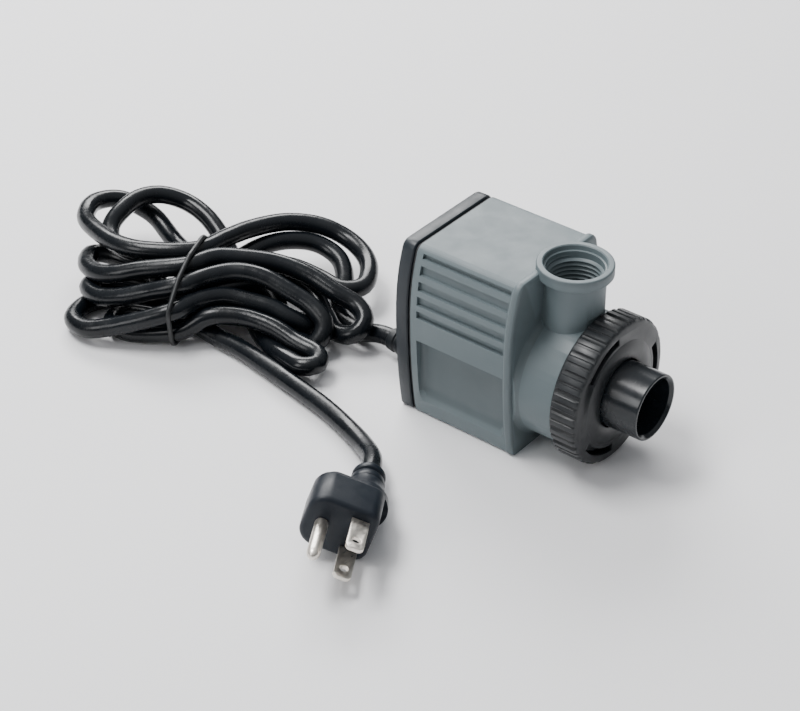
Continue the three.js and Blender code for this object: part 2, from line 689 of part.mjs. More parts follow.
// Section in Y and Z, pushed along X from a start station
function prismAlongX(shape, start, length) {
  const settings = { depth: length, bevelEnabled: false, curveSegments: 5 };
  const geometry = new THREE.ExtrudeGeometry(shape, settings);
  const basis = new THREE.Matrix4().makeBasis(
    new THREE.Vector3(0, 1, 0),
    new THREE.Vector3(0, 0, 1),
    new THREE.Vector3(1, 0, 0),
  );
  geometry.applyMatrix4(basis);
  geometry.translate(start, 0, 0);
  return solidOf(geometry);
}

// Closed profile of [radius, station] pairs, turned about a line along X
function turnedAlongX(profile, y = 0) {
  const geometry = geometryOf(turnedAlongY(profile, 0, 0, SMALL_STEPS));
  geometry.rotateZ(-Math.PI / 2);
  geometry.translate(0, y, 0);
  return solidOf(geometry);
}

function plugSection(inset) {
  const [plain, lobe] = [6.4 - inset, -12 + inset * 0.4];
  const half = 10.6 - inset;
  const corner = 4.5;
  const shape = new THREE.Shape();
  shape.absarc(plain - corner, half - corner, corner, 0, Math.PI / 2, false);
  shape.absarc(lobe, half - 6.5, 6.5 - inset * 0.6, Math.PI / 2, Math.PI, false);
  shape.absarc(lobe, 6.5 - half, 6.5 - inset * 0.6, Math.PI, Math.PI * 1.5, false);
  shape.absarc(plain - corner, corner - half, corner, Math.PI * 1.5, Math.PI * 2, false);
  return shape;
}

function plugBody() {
  const head = prismAlongX(plugSection(0), -17, 17);
  const shoulder = prismAlongX(plugSection(1.8), -21, 5);
  const neck = turnedAlongX([[0, -20], [9, -20], [6.6, -PLUG_BODY_LENGTH], [0, -PLUG_BODY_LENGTH]]);
  return join([head, shoulder, neck]);
}

function plugCollar() {
  const start = -PLUG_BODY_LENGTH - GAP;
  const profile = [
    [0, start],
    [6.2, start],
    [6.2, start - 3.2],
    [5.2, start - 3.6],
    [5.2, start - 4.6],
    [6, start - 5],
    [6, start - 7.6],
    [CORD_RADIUS + 0.8, start - 8.4],
    [CORD_RADIUS + 0.5, -PLUG_COLLAR_END],
    [0, -PLUG_COLLAR_END],
  ];
  return turnedAlongX(profile);
}

function plugBlade(side) {
  const half = BLADE_WIDTH / 2;
  const shape = new THREE.Shape();
  shape.moveTo(GAP, -half);
  shape.lineTo(BLADE_LENGTH - 1.5, -half);
  shape.lineTo(BLADE_LENGTH, -half + 1.5);
  shape.lineTo(BLADE_LENGTH, half - 1.5);
  shape.lineTo(BLADE_LENGTH - 1.5, half);
  shape.lineTo(GAP, half);
  const hole = new THREE.Path();
  hole.absarc(BLADE_LENGTH - 5, 0, 1.6, 0, Math.PI * 2, true);
  shape.holes.push(hole);
  const settings = { depth: BLADE_THICK, bevelEnabled: false, curveSegments: 8 };
  const geometry = new THREE.ExtrudeGeometry(shape, settings);
  geometry.translate(0, 0, (side * BLADE_SPACING - BLADE_THICK) / 2);
  return solidOf(geometry);
}

function groundPin() {
  const tip = PIN_LENGTH - PIN_RADIUS;
  const profile = [
    [0, GAP],
    [PIN_RADIUS, GAP],
    [PIN_RADIUS, tip],
    [PIN_RADIUS * 0.75, tip + 1.6],
    [0, PIN_LENGTH],
  ];
  return turnedAlongX(profile, -PIN_OFFSET);
}

// ---- Assembly ----

const pump = new THREE.Group();
pump.add(
  piece('motor_housing', motorHousing(), HOUSING_PLASTIC),
  piece('rear_cover', rearCover(), DARK_PLASTIC),
  piece('cover_gasket', coverGasket(), BLACK_RUBBER),
  piece('potting_resin', pottingResin(), RESIN),
  piece('stator_core', statorCore(), CORE_STEEL),
  piece('coil_bobbin_left', coilBobbin(-1), BOBBIN_PLASTIC),
  piece('coil_bobbin_right', coilBobbin(1), BOBBIN_PLASTIC),
  piece('coil_winding_left', coilWinding(-1), COPPER),
  piece('coil_winding_right', coilWinding(1), COPPER),
  piece('live_wire', innerWire(-WIRE_SPACING, -COIL_TAP_X, COIL_TAP_Y, COIL_TAP_Z), LIVE_JACKET),
  piece('neutral_wire', innerWire(0, COIL_TAP_X, COIL_TAP_Y, COIL_TAP_Z), NEUTRAL_JACKET),
  piece('ground_wire', innerWire(WIRE_SPACING, CORE_TAP_X, STACK_BACK + 1, CORE_TAP_Z), GROUND_JACKET),
  piece('ceramic_shaft', rod(SHAFT_RADIUS, SHAFT_BACK, SHAFT_FRONT, 0, AXIS_Z, SMALL_STEPS), CERAMIC),
  piece('rear_bush', smallSleeve(BUSH_SOCKET - GAP, ...REAR_BUSH_SPAN), BLACK_RUBBER),
  piece('rear_thrust_washer', smallSleeve(WASHER_RADIUS, ...REAR_WASHER_SPAN), CERAMIC),
  piece('rotor_magnet', sleeve(MAGNET_RADIUS, SLEEVE_RADIUS + GAP, MAGNET_FRONT, MAGNET_BACK), FERRITE),
  piece('magnet_sleeve', magnetSleeve(), IMPELLER_PLASTIC),
  piece('impeller', impeller(), IMPELLER_PLASTIC),
  piece('front_thrust_washer', smallSleeve(WASHER_RADIUS, ...FRONT_WASHER_SPAN), CERAMIC),
  piece('front_bush', smallSleeve(FRONT_BUSH_RADIUS, ...FRONT_BUSH_SPAN), BLACK_RUBBER),
  piece('inlet_cap', inletCap(), GLOSS_PLASTIC),
  piece('inlet_seal', sealRing(), BLACK_RUBBER),
  piece('union_ring', unionRing(), DARK_PLASTIC),
  piece('cord_relief', cordRelief(), BLACK_RUBBER),
  piece('cord_lead', tubeAlong(LEAD_ROUTE, CORD_RADIUS, 12, 3), CORD_JACKET),
  piece('cord_hank', cordHank(), CORD_JACKET),
  piece('cord_tie', tieBand(), BLACK_RUBBER),
  piece('cord_tail', tubeAlong(TAIL_ROUTE, CORD_RADIUS, 12, 14), CORD_JACKET),
);

const plug = new THREE.Group();
plug.position.set(...PLUG_FACE);
plug.rotation.set(degrees(PLUG_ROLL), degrees(-PLUG_TILT), degrees(PLUG_HEADING), 'ZYX');
plug.add(
  piece('plug_body', plugBody(), BLACK_RUBBER),
  piece('plug_collar', plugCollar(), BLACK_RUBBER),
  piece('upper_blade', plugBlade(1), NICKEL),
  piece('lower_blade', plugBlade(-1), NICKEL),
  piece('ground_pin', groundPin(), NICKEL),
);
pump.add(plug);

export default pump;
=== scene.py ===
"""Looks for the submersible fountain pump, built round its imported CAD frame."""
import json
import math

import bmesh
import bpy
import numpy as np
from mathutils import Matrix, Vector


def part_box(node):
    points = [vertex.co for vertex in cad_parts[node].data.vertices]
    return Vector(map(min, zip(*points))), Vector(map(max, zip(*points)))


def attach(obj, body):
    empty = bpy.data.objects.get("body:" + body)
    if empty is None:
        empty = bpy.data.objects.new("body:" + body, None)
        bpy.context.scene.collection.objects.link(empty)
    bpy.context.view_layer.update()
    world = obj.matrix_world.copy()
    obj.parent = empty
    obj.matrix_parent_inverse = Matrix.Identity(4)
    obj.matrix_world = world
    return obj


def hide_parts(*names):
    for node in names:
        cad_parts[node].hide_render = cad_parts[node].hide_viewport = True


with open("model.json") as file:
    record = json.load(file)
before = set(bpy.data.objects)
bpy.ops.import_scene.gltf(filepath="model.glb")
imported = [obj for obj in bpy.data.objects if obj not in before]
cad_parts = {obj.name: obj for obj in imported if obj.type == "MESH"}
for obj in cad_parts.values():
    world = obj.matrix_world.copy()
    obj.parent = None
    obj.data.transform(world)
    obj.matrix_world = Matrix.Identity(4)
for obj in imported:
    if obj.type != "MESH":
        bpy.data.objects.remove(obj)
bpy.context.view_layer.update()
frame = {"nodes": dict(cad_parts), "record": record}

MM = 0.001
ROUND = 128
RING_LENGTH = 11.4


# ---------------------------------------------------------------- places taken from the frame

def span(node):
    """Lowest and highest corners of a CAD node, in millimetres."""
    low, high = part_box(node)
    return [value / MM for value in low], [value / MM for value in high]


_, housing_high = span("motor_housing")
_, cover_high = span("rear_cover")
_, ring_high = span("union_ring")
cap_low, _ = span("inlet_cap")
relief_low, relief_high = span("cord_relief")
wheel_low, wheel_high = span("impeller")

AXIS_Z = (wheel_low[2] + wheel_high[2]) / 2
COVER_BACK = cover_high[1]
RING_BACK = ring_high[1]
RING_FRONT = RING_BACK - RING_LENGTH
SPIGOT_END = cap_low[1]
OUTLET_TOP = housing_high[2]
RELIEF_X = (relief_low[0] + relief_high[0]) / 2
RELIEF_Z = (relief_low[2] + relief_high[2]) / 2
RELIEF_END = relief_high[1]

# Stations and sizes that repeat the CAD part's own, in millimetres
COVER_FRONT = 42.3
HOUSING_BACK = 41.0
HOUSING_FRONT = -4.45
CAVITY_FRONT = 1.5
BODY_HEIGHT = 72.3
OUTLET_Y = -11.25


# ---------------------------------------------------------------- camera

CAMERA_AZIMUTH = math.radians(-51.63)
CAMERA_HEIGHT = math.radians(34.97)
CAMERA_ROLL = math.radians(0.26)
CAMERA_DISTANCE = 0.830
CAMERA_LENS = 99.85
CAMERA_SENSOR = 36
AIM = Vector((0.0, 0.04145, 0.0265))
AIM_RIGHT = -0.0200
AIM_UP = -0.0119


def make_camera():
    back = Vector((
        math.sin(CAMERA_AZIMUTH) * math.cos(CAMERA_HEIGHT),
        -math.cos(CAMERA_AZIMUTH) * math.cos(CAMERA_HEIGHT),
        math.sin(CAMERA_HEIGHT),
    ))
    level = Vector((0, 0, 1)).cross(back).normalized()
    upright = back.cross(level)
    right = level * math.cos(CAMERA_ROLL) + upright * math.sin(CAMERA_ROLL)
    up = back.cross(right)
    data = bpy.data.cameras.new("camera")
    data.lens = CAMERA_LENS
    data.sensor_width = CAMERA_SENSOR
    camera = bpy.data.objects.new("camera", data)
    turn = Matrix((right, up, back)).transposed().to_4x4()
    place = AIM + back * CAMERA_DISTANCE + right * AIM_RIGHT + up * AIM_UP
    camera.matrix_world = Matrix.Translation(place) @ turn
    bpy.context.scene.collection.objects.link(camera)
    bpy.context.scene.camera = camera


make_camera()


# ---------------------------------------------------------------- materials

def shader(name, colour, roughness, metallic=0.0, coat=0.0, specular=0.5):
    material = bpy.data.materials.new(name)
    material.use_nodes = True
    tree = material.node_tree
    surface = tree.nodes["Principled BSDF"]
    surface.inputs["Base Color"].default_value = (*colour, 1)
    surface.inputs["Roughness"].default_value = roughness
    surface.inputs["Metallic"].default_value = metallic
    surface.inputs["Coat Weight"].default_value = coat
    surface.inputs["Coat Roughness"].default_value = 0.12
    surface.inputs["Specular IOR Level"].default_value = specular
    coords = tree.nodes.new("ShaderNodeTexCoord")
    return material, tree, surface, coords.outputs["Object"]


def noise(tree, where, scale, detail=4.0, rough=0.55, stretch=None):
    node = tree.nodes.new("ShaderNodeTexNoise")
    node.inputs["Scale"].default_value = scale
    node.inputs["Detail"].default_value = detail
    node.inputs["Roughness"].default_value = rough
    if stretch:
        mapping = tree.nodes.new("ShaderNodeMapping")
        mapping.inputs["Scale"].default_value = stretch
        tree.links.new(where, mapping.inputs["Vector"])
        where = mapping.outputs["Vector"]
    tree.links.new(where, node.inputs["Vector"])
    return node.outputs["Fac"]


def ramp(tree, value, stops):
    node = tree.nodes.new("ShaderNodeValToRGB")
    elements = node.color_ramp.elements
    while len(elements) < len(stops):
        elements.new(0.5)
    for element, (position, colour) in zip(elements, stops):
        element.position = position
        element.color = (*colour, 1)
    tree.links.new(value, node.inputs["Fac"])
    return node.outputs["Color"]


def spread(tree, value, low, high, start=0.3, end=0.7):
    node = tree.nodes.new("ShaderNodeMapRange")
    node.inputs["From Min"].default_value = start
    node.inputs["From Max"].default_value = end
    node.inputs["To Min"].default_value = low
    node.inputs["To Max"].default_value = high
    tree.links.new(value, node.inputs["Value"])
    return node.outputs["Result"]


def bump(tree, surface, layers):
    """Stacks height layers of (value, strength, distance in metres) on the surface's normal."""
    normal = None
    for value, strength, distance in layers:
        node = tree.nodes.new("ShaderNodeBump")
        node.inputs["Strength"].default_value = strength
        node.inputs["Distance"].default_value = distance
        tree.links.new(value, node.inputs["Height"])
        if normal:
            tree.links.new(normal, node.inputs["Normal"])
        normal = node.outputs["Normal"]
    tree.links.new(normal, surface.inputs["Normal"])


def shade(colour, factor):
    return tuple(min(1.0, part * factor) for part in colour)


def edge_wear(tree, base, worn, amount=0.55):
    """Lightens convex edges, as moulded plastic is rubbed there."""
    geometry = tree.nodes.new("ShaderNodeNewGeometry")
    mask = spread(tree, geometry.outputs["Pointiness"], 0.0, amount, 0.515, 0.58)
    mix = tree.nodes.new("ShaderNodeMix")
    mix.data_type = "RGBA"
    tree.links.new(mask, mix.inputs["Factor"])
    tree.links.new(base, mix.inputs[6])
    mix.inputs[7].default_value = (*worn, 1)
    return mix.outputs[2]


def moulded(name, colour, roughness, grain=0.35, coat=0.0, spots=0.12, specular=0.5):
    """Moulded plastic: fine spark-eroded grain, slow flow marks, faint colour drift and rubbed edges."""
    material, tree, surface, where = shader(name, colour, roughness, coat=coat, specular=specular)
    drift = noise(tree, where, 38, 3)
    base = ramp(tree, drift, [(0.3, shade(colour, 1 - spots)), (0.7, shade(colour, 1 + spots))])
    tree.links.new(edge_wear(tree, base, shade(colour, 1.5)), surface.inputs["Base Color"])
    rub = noise(tree, where, 120, 5, 0.6)
    tree.links.new(spread(tree, rub, roughness - 0.05, roughness + 0.07), surface.inputs["Roughness"])
    fine = noise(tree, where, 5200, 2)
    flow = noise(tree, where, 260, 2)
    bump(tree, surface, [(flow, 0.18, 0.00012), (fine, grain, 0.00006)])
    return material


def jacket(name, colour, roughness):
    """Extruded cord jacket: glossy, with long faint ripples, dust specks and dulled patches."""
    material, tree, surface, where = shader(name, colour, roughness, specular=0.3)
    drift = noise(tree, where, 60, 4)
    base = ramp(tree, drift, [(0.3, shade(colour, 0.8)), (0.75, shade(colour, 1.5))])
    tree.links.new(base, surface.inputs["Base Color"])
    dull = noise(tree, where, 90, 6, 0.65)
    tree.links.new(spread(tree, dull, roughness - 0.06, roughness + 0.16), surface.inputs["Roughness"])
    ripple = noise(tree, where, 170, 2)
    fine = noise(tree, where, 3600, 2)
    bump(tree, surface, [(ripple, 0.35, 0.0004), (fine, 0.12, 0.00004)])
    return material


def scuffed_rubber(name, colour, roughness):
    """Matte moulded rubber with pale dust specks and fine scratches."""
    material, tree, surface, where = shader(name, colour, roughness, specular=0.3)
    specks = noise(tree, where, 1500, 6, 0.7)
    base = ramp(tree, specks, [(0.0, colour), (0.66, shade(colour, 1.2)), (0.78, shade(colour, 4.5))])
    tree.links.new(base, surface.inputs["Base Color"])
    dull = noise(tree, where, 140, 5)
    tree.links.new(spread(tree, dull, roughness - 0.08, roughness + 0.12), surface.inputs["Roughness"])
    scratch = noise(tree, where, 900, 3, 0.6, stretch=(1, 0.15, 1))
    fine = noise(tree, where, 4200, 2)
    bump(tree, surface, [(scratch, 0.2, 0.00008), (fine, 0.3, 0.00005)])
    return material


def metal(name, colour, roughness, stretch=(1, 1, 1), scale=1400):
    """Plated or drawn metal: directional brushing, darker tarnish in patches."""
    material, tree, surface, where = shader(name, colour, roughness, metallic=1.0)
    stain = noise(tree, where, 300, 5, 0.65)
    base = ramp(tree, stain, [(0.35, shade(colour, 0.86)), (0.6, colour)])
    tree.links.new(base, surface.inputs["Base Color"])
    lines = noise(tree, where, scale, 3, 0.6, stretch=stretch)
    tree.links.new(spread(tree, lines, roughness - 0.08, roughness + 0.15), surface.inputs["Roughness"])
    bump(tree, surface, [(lines, 0.3, 0.00003)])
    return material


def banded(name, colour, roughness, metallic, pitch_mm, direction, depth=0.0001):
    """Even bands across one direction, as in wound wire or stacked laminations."""
    material, tree, surface, where = shader(name, colour, roughness, metallic=metallic)
    wave = tree.nodes.new("ShaderNodeTexWave")
    wave.bands_direction = direction
    wave.inputs["Scale"].default_value = 0.314 / (pitch_mm * MM)
    wave.inputs["Distortion"].default_value = 0.4
    wave.inputs["Detail"].default_value = 1
    tree.links.new(where, wave.inputs["Vector"])
    base = ramp(tree, wave.outputs["Fac"], [(0.1, shade(colour, 0.45)), (0.6, colour)])
    tree.links.new(base, surface.inputs["Base Color"])
    bump(tree, surface, [(wave.outputs["Fac"], 0.8, depth)])
    return material


LOOKS = {
    "housing_plastic": moulded("housing_plastic", (0.090, 0.115, 0.123), 0.48, grain=0.3, spots=0.05),
    "dark_plastic": moulded("dark_plastic", (0.012, 0.017, 0.022), 0.40, grain=0.3, specular=0.35),
    "ring_plastic": moulded("ring_plastic", (0.014, 0.016, 0.018), 0.38, grain=0.25, specular=0.4),
    "gloss_plastic": moulded("gloss_plastic", (0.008, 0.011, 0.014), 0.24, grain=0.08, specular=0.45),
    "black_rubber": moulded("black_rubber", (0.012, 0.012, 0.013), 0.6, grain=0.4),
    "cord_rubber": scuffed_rubber("cord_rubber", (0.006, 0.008, 0.010), 0.4),
    "cord_jacket": jacket("cord_jacket", (0.0035, 0.0048, 0.0065), 0.2),
    "plug_rubber": scuffed_rubber("plug_rubber", (0.006, 0.009, 0.014), 0.4),
    "tie_plastic": moulded("tie_plastic", (0.006, 0.007, 0.008), 0.45, grain=0.2),
    "pale_plastic": moulded("pale_plastic", (0.62, 0.62, 0.58), 0.42, grain=0.25, spots=0.04),
    "resin": moulded("resin", (0.014, 0.012, 0.010), 0.3, grain=0.1, coat=0.3),
    "core_steel": banded("core_steel", (0.32, 0.33, 0.34), 0.4, 1.0, 0.5, "Y"),
    "copper": banded("copper", (0.62, 0.22, 0.09), 0.3, 1.0, 0.35, "Z"),
    "ferrite": metal("ferrite", (0.06, 0.062, 0.068), 0.5, scale=2600),
    "ceramic": moulded("ceramic", (0.84, 0.83, 0.78), 0.22, grain=0.05, spots=0.03),
    "wire_black": jacket("wire_black", (0.012, 0.012, 0.013), 0.4),
    "wire_white": jacket("wire_white", (0.55, 0.55, 0.53), 0.4),
    "wire_green": jacket("wire_green", (0.03, 0.2, 0.06), 0.4),
    "nickel": metal("nickel", (0.78, 0.73, 0.66), 0.34, stretch=(0.1, 1, 1)),
}


def dress_cad_nodes():
    for part in frame["record"]["subparts"]:
        node = frame["nodes"][part["node"]]
        node.data.materials.clear()
        node.data.materials.append(LOOKS[part["material_slot"]])


dress_cad_nodes()


# ---------------------------------------------------------------- mesh tools, in millimetres

def mesh_object(name, verts, faces):
    mesh = bpy.data.meshes.new(name)
    mesh.from_pydata([tuple(v) for v in verts], [], faces)
    mesh.validate()
    fix = bmesh.new()
    fix.from_mesh(mesh)
    bmesh.ops.remove_doubles(fix, verts=fix.verts, dist=1e-4)
    bmesh.ops.recalc_face_normals(fix, faces=fix.faces)
    fix.to_mesh(mesh)
    fix.free()
    thing = bpy.data.objects.new(name, mesh)
    bpy.context.scene.collection.objects.link(thing)
    return thing


def loft(name, loops, closed=False):
    """Skins closed loops of equal count. Open ends are capped with one face each."""
    count = len(loops[0])
    verts = [point for loop in loops for point in loop]
    faces = []
    rows = len(loops) if closed else len(loops) - 1
    for row in range(rows):
        here = row * count
        there = ((row + 1) % len(loops)) * count
        for place in range(count):
            after = (place + 1) % count
            faces.append((here + place, here + after, there + after, there + place))
    if not closed:
        faces.append(tuple(range(count - 1, -1, -1)))
        faces.append(tuple(range((len(loops) - 1) * count, len(loops) * count)))
    return mesh_object(name, verts, faces)


def prism_y(name, outline, back, front):
    return loft(name, [[(x, y, z) for x, z in outline] for y in (back, front)])


def turned(name, profile, axis="Y", at=(0, 0, 0), steps=ROUND):
    """Turns a closed [radius, station] profile about a line along Y, Z or X through a point."""
    loops = []
    for step in range(steps):
        angle = step / steps * math.tau
        c, s = math.cos(angle), math.sin(angle)
        if axis == "Y":
            loop = [(at[0] + r * c, at[1] + t, at[2] + r * s) for r, t in profile]
        elif axis == "Z":
            loop = [(at[0] + r * c, at[1] + r * s, at[2] + t) for r, t in profile]
        else:
            loop = [(at[0] + t, at[1] + r * c, at[2] + r * s) for r, t in profile]
        loops.append(loop)
    return loft(name, loops, closed=True)


def rod_y(name, radius, y0, y1, x=0.0, z=None, steps=ROUND):
    height = AXIS_Z if z is None else z
    circle = [(x + radius * math.cos(a), height + radius * math.sin(a))
              for a in (step / steps * math.tau for step in range(steps))]
    return prism_y(name, circle, y0, y1)


def box_solid(name, x0, x1, y0, y1, z0, z1):
    outline = [(x0, z0), (x1, z0), (x1, z1), (x0, z1)]
    return prism_y(name, outline, y1, y0)


def settle(thing):
    """Applies a piece's modifiers."""
    depsgraph = bpy.context.evaluated_depsgraph_get()
    mesh = bpy.data.meshes.new_from_object(thing.evaluated_get(depsgraph))
    thing.modifiers.clear()
    thing.data = mesh
    return thing


def combine(thing, others, operation):
    for other in others:
        tool = thing.modifiers.new("cut", "BOOLEAN")
        tool.operation = operation
        tool.solver = "EXACT"
        tool.object = other
        settle(thing)
        bpy.data.objects.remove(other)
    return thing


def finish_piece(thing, look, body, replaced=(), bevel=0.0, segments=3, sharp=32.0, limit=35.0):
    """Rounds the edges, scales to metres, shades, dresses and rides one piece."""
    if bevel:
        rounding = thing.modifiers.new("rounding", "BEVEL")
        rounding.width = bevel
        rounding.segments = segments
        rounding.limit_method = "ANGLE"
        rounding.angle_limit = math.radians(limit)
        rounding.use_clamp_overlap = True
        settle(thing)
    mesh = thing.data
    mesh.transform(Matrix.Scale(MM, 4))
    mesh.polygons.foreach_set("use_smooth", [True] * len(mesh.polygons))
    mesh.set_sharp_from_angle(angle=math.radians(sharp))
    mesh.materials.clear()
    mesh.materials.append(LOOKS[look])
    mesh.update()
    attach(thing, body)
    if replaced:
        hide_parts(*replaced)
    return thing


# ---------------------------------------------------------------- cord, tied in a hank, and its plug

CORD_RADIUS = 3.75
TIE_RADIUS = 1.0
CLEARANCE = 0.1
TIE_MIDDLE = np.array([-31.0, 146.0])
ACROSS = np.array([0.936, 0.351])
ALONG = np.array([ACROSS[1], -ACROSS[0]])

# Limits and rates of the relaxation that parts the strands
LAY_SPACING = 4.0
SETTLE_ROUNDS = 300
EASIEST_BEND = 11.0
HIGHEST_STRAND = 28.0
NEIGHBOUR_REACH = 2.6
PUSH_SHARE = 0.3
BIGGEST_STEP = 1.5
EASE_SHARE = 0.6
KEPT_DRIFT = 0.999
TIE_REACH = 10
HELD_AT_EXIT = 3

# How finely the cord and its tie are drawn, and how far the cord runs on inside its fittings
DRAW_SPACING = 2.0
CURVE_STEPS = 16
TIE_STEPS = 96
TIE_PRESS = 0.9
STRANDS_WITHIN = 30
INSIDE_RELIEF = 6
INSIDE_COLLAR = 35

# Places the cord passes: the lead runs from the strain relief to the hank, TAIL_DIVE comes out of the
# hank again, and TAIL_ROUTE is listed from the plug back to the hank
LEAD_ROUTE = [(0, 71.3, 7.2), (0, 74, 7), (0.1, 76.8, 6.8)]
LEAD_LOOP = [(-0.6, 86, 4.2), (1.5, 96, 4), (9, 105.5, 5), (19, 110, 8), (26.5, 119, 12),
             (26, 130, 15.2), (19, 138.2, 17), (9, 143.2, 17.5), (-7, 145.5, 16.5)]
TAIL_ROUTE = [(-71.5, 23.4, 9.1), (-68.1, 25.5, 8.7), (-63, 29.9, 7.2), (-57.2, 38.5, 5.1),
              (-51.6, 51, 3.9), (-47.4, 65, 3.9), (-44.4, 80, 3.9), (-41.8, 94, 3.9),
              (-40.2, 103.5, 3.9)]
TAIL_DIVE = [(-38.5, 130, 3.9), (-38.6, 116.5, 3.9)]
FIRST_CROSSING = (21.5, 15)
CROSSING_ZERO = 15

# Each half turn of the hank: places it passes, then where it crosses the tie (across, height)
HALF_TURNS = [
    ([(-38, 169, 7), (-50, 186.5, 4), (-62.5, 183, 4), (-66, 172.5, 4.2), (-61.5, 161.5, 6)], (-3.2, 13.3)),
    ([(-38.5, 136, 14), (-30, 129, 13.5), (-26, 118, 12), (-23, 105, 10), (-22, 95, 7.5),
      (-17.5, 87.5, 5), (-12.5, 93, 4), (-15, 108, 4.5), (-19, 123, 11.8)], (14, 5.9)),
    ([(-34, 168, 8), (-44.5, 188, 9.5), (-53, 188.5, 10.3), (-57.2, 178, 11), (-54.5, 167, 13),
      (-48.8, 156, 16)], (4, 20.3)),
    ([(-32, 138.5, 20), (-22.5, 131.5, 19.5), (-17.7, 121, 18.5), (-16.2, 108, 15.5), (-16, 95, 12),
      (-19, 85.5, 8.5), (-26, 84.5, 4), (-25, 93, 4), (-19.5, 105, 4), (-12, 121, 11.8)], (5, 13)),
    ([(-30, 170, 11), (-31, 194, 13.5), (-36, 200, 14), (-44.5, 194, 14), (-49.2, 182.6, 15),
      (-48, 173, 17), (-43, 163.5, 19.5)], (13.5, 22.3)),
    ([(-23.2, 141, 23), (-15.4, 132, 22.5), (-8.8, 120.7, 21.5), (-5.2, 107.9, 19), (-4.8, 94.2, 15.5),
      (-4, 84, 12.5), (-8, 77, 9.5), (-14.5, 77.5, 6), (-16, 87, 4), (-11, 99, 6), (-5.5, 110, 11),
      (-5, 122, 12.5)], (21.5, 5.9)),
    ([(-13, 165, 8), (-5, 183, 9), (-1, 197, 13), (-6, 209.5, 17.5), (-16, 213, 18.5), (-25.5, 207, 18),
      (-32, 192.5, 19), (-36, 176.5, 21), (-34, 165, 22.3)], (24, 23.7)),
    ([(-8, 148.3, 23), (6, 146.8, 22), (20.5, 141.5, 20.3), (29.5, 132, 18), (32.5, 121, 15),
      (29.5, 109.5, 12.8), (21, 100, 12), (10.5, 95.5, 11), (3, 100, 11.3), (2, 112, 12), (1, 125, 12),
      (-7, 137, 12.5)], (12.5, 13.6)),
    ([(-33, 165, 12), (-36.5, 181, 12), (-35, 192, 12.7), (-28, 198.5, 16), (-18, 199.8, 20),
      (-8, 199.3, 22), (0.5, 195, 22), (6.5, 186, 20), (7, 174, 17.5), (3, 160, 13), (-2, 147, 6),
      (-10, 135, 4), (-21, 121, 3.9), (-31, 106, 3.9), (-37.3, 91, 3.9), (-38.5, 80.5, 3.9),
      (-33, 75.4, 3.9), (-27.5, 80, 3.9), (-26.4, 92.5, 4.3), (-27.5, 107, 8), (-31.5, 120.5, 10.5),
      (-39, 131.5, 11)], (-1.5, 5.9)),
    ([(-54, 153, 4), (-59, 164, 4), (-56.5, 174.5, 4), (-48, 174, 4), (-42, 160, 4)], (6.5, 5.9)),
]


def crossing(across, height):
    x, y = TIE_MIDDLE + ACROSS * (across - CROSSING_ZERO)
    return np.array([x, y, height])


def first_route():
    points = [np.array(p, float) for p in LEAD_ROUTE + LEAD_LOOP]
    points.append(crossing(*FIRST_CROSSING))
    for places, end in HALF_TURNS:
        points += [np.array(p, float) for p in places]
        points.append(crossing(*end))
    points += [np.array(p, float) for p in TAIL_DIVE]
    points += [np.array(p, float) for p in reversed(TAIL_ROUTE)]
    return np.array(points)


def smooth_samples(points, spacing):
    """Even samples along a centripetal Catmull-Rom curve through the points."""
    dense = []
    ext = np.vstack([2 * points[0] - points[1], points, 2 * points[-1] - points[-2]])
    for i in range(1, len(ext) - 2):
        p0, p1, p2, p3 = ext[i - 1:i + 3]
        t0 = 0.0
        t1 = t0 + max(np.linalg.norm(p1 - p0), 1e-6) ** 0.5
        t2 = t1 + max(np.linalg.norm(p2 - p1), 1e-6) ** 0.5
        t3 = t2 + max(np.linalg.norm(p3 - p2), 1e-6) ** 0.5
        for t in np.linspace(t1, t2, CURVE_STEPS, endpoint=False):
            a1 = (t1 - t) / (t1 - t0) * p0 + (t - t0) / (t1 - t0) * p1
            a2 = (t2 - t) / (t2 - t1) * p1 + (t - t1) / (t2 - t1) * p2
            a3 = (t3 - t) / (t3 - t2) * p2 + (t - t2) / (t3 - t2) * p3
            b1 = (t2 - t) / (t2 - t0) * a1 + (t - t0) / (t2 - t0) * a2
            b2 = (t3 - t) / (t3 - t1) * a2 + (t - t1) / (t3 - t1) * a3
            dense.append((t2 - t) / (t2 - t1) * b1 + (t - t1) / (t2 - t1) * b2)
    dense.append(points[-1])
    dense = np.array(dense)
    along = np.r_[0, np.cumsum(np.linalg.norm(np.diff(dense, axis=0), axis=1))]
    count = int(round(along[-1] / spacing)) + 1
    want = np.linspace(0, along[-1], count)
    return np.column_stack([np.interp(want, along, dense[:, k]) for k in range(3)])


def smooth_rows(values, share, passes):
    """Blends each row with its two neighbours, in place."""
    for _ in range(passes):
        values[1:-1] = share * values[:-2] + (1 - 2 * share) * values[1:-1] + share * values[2:]


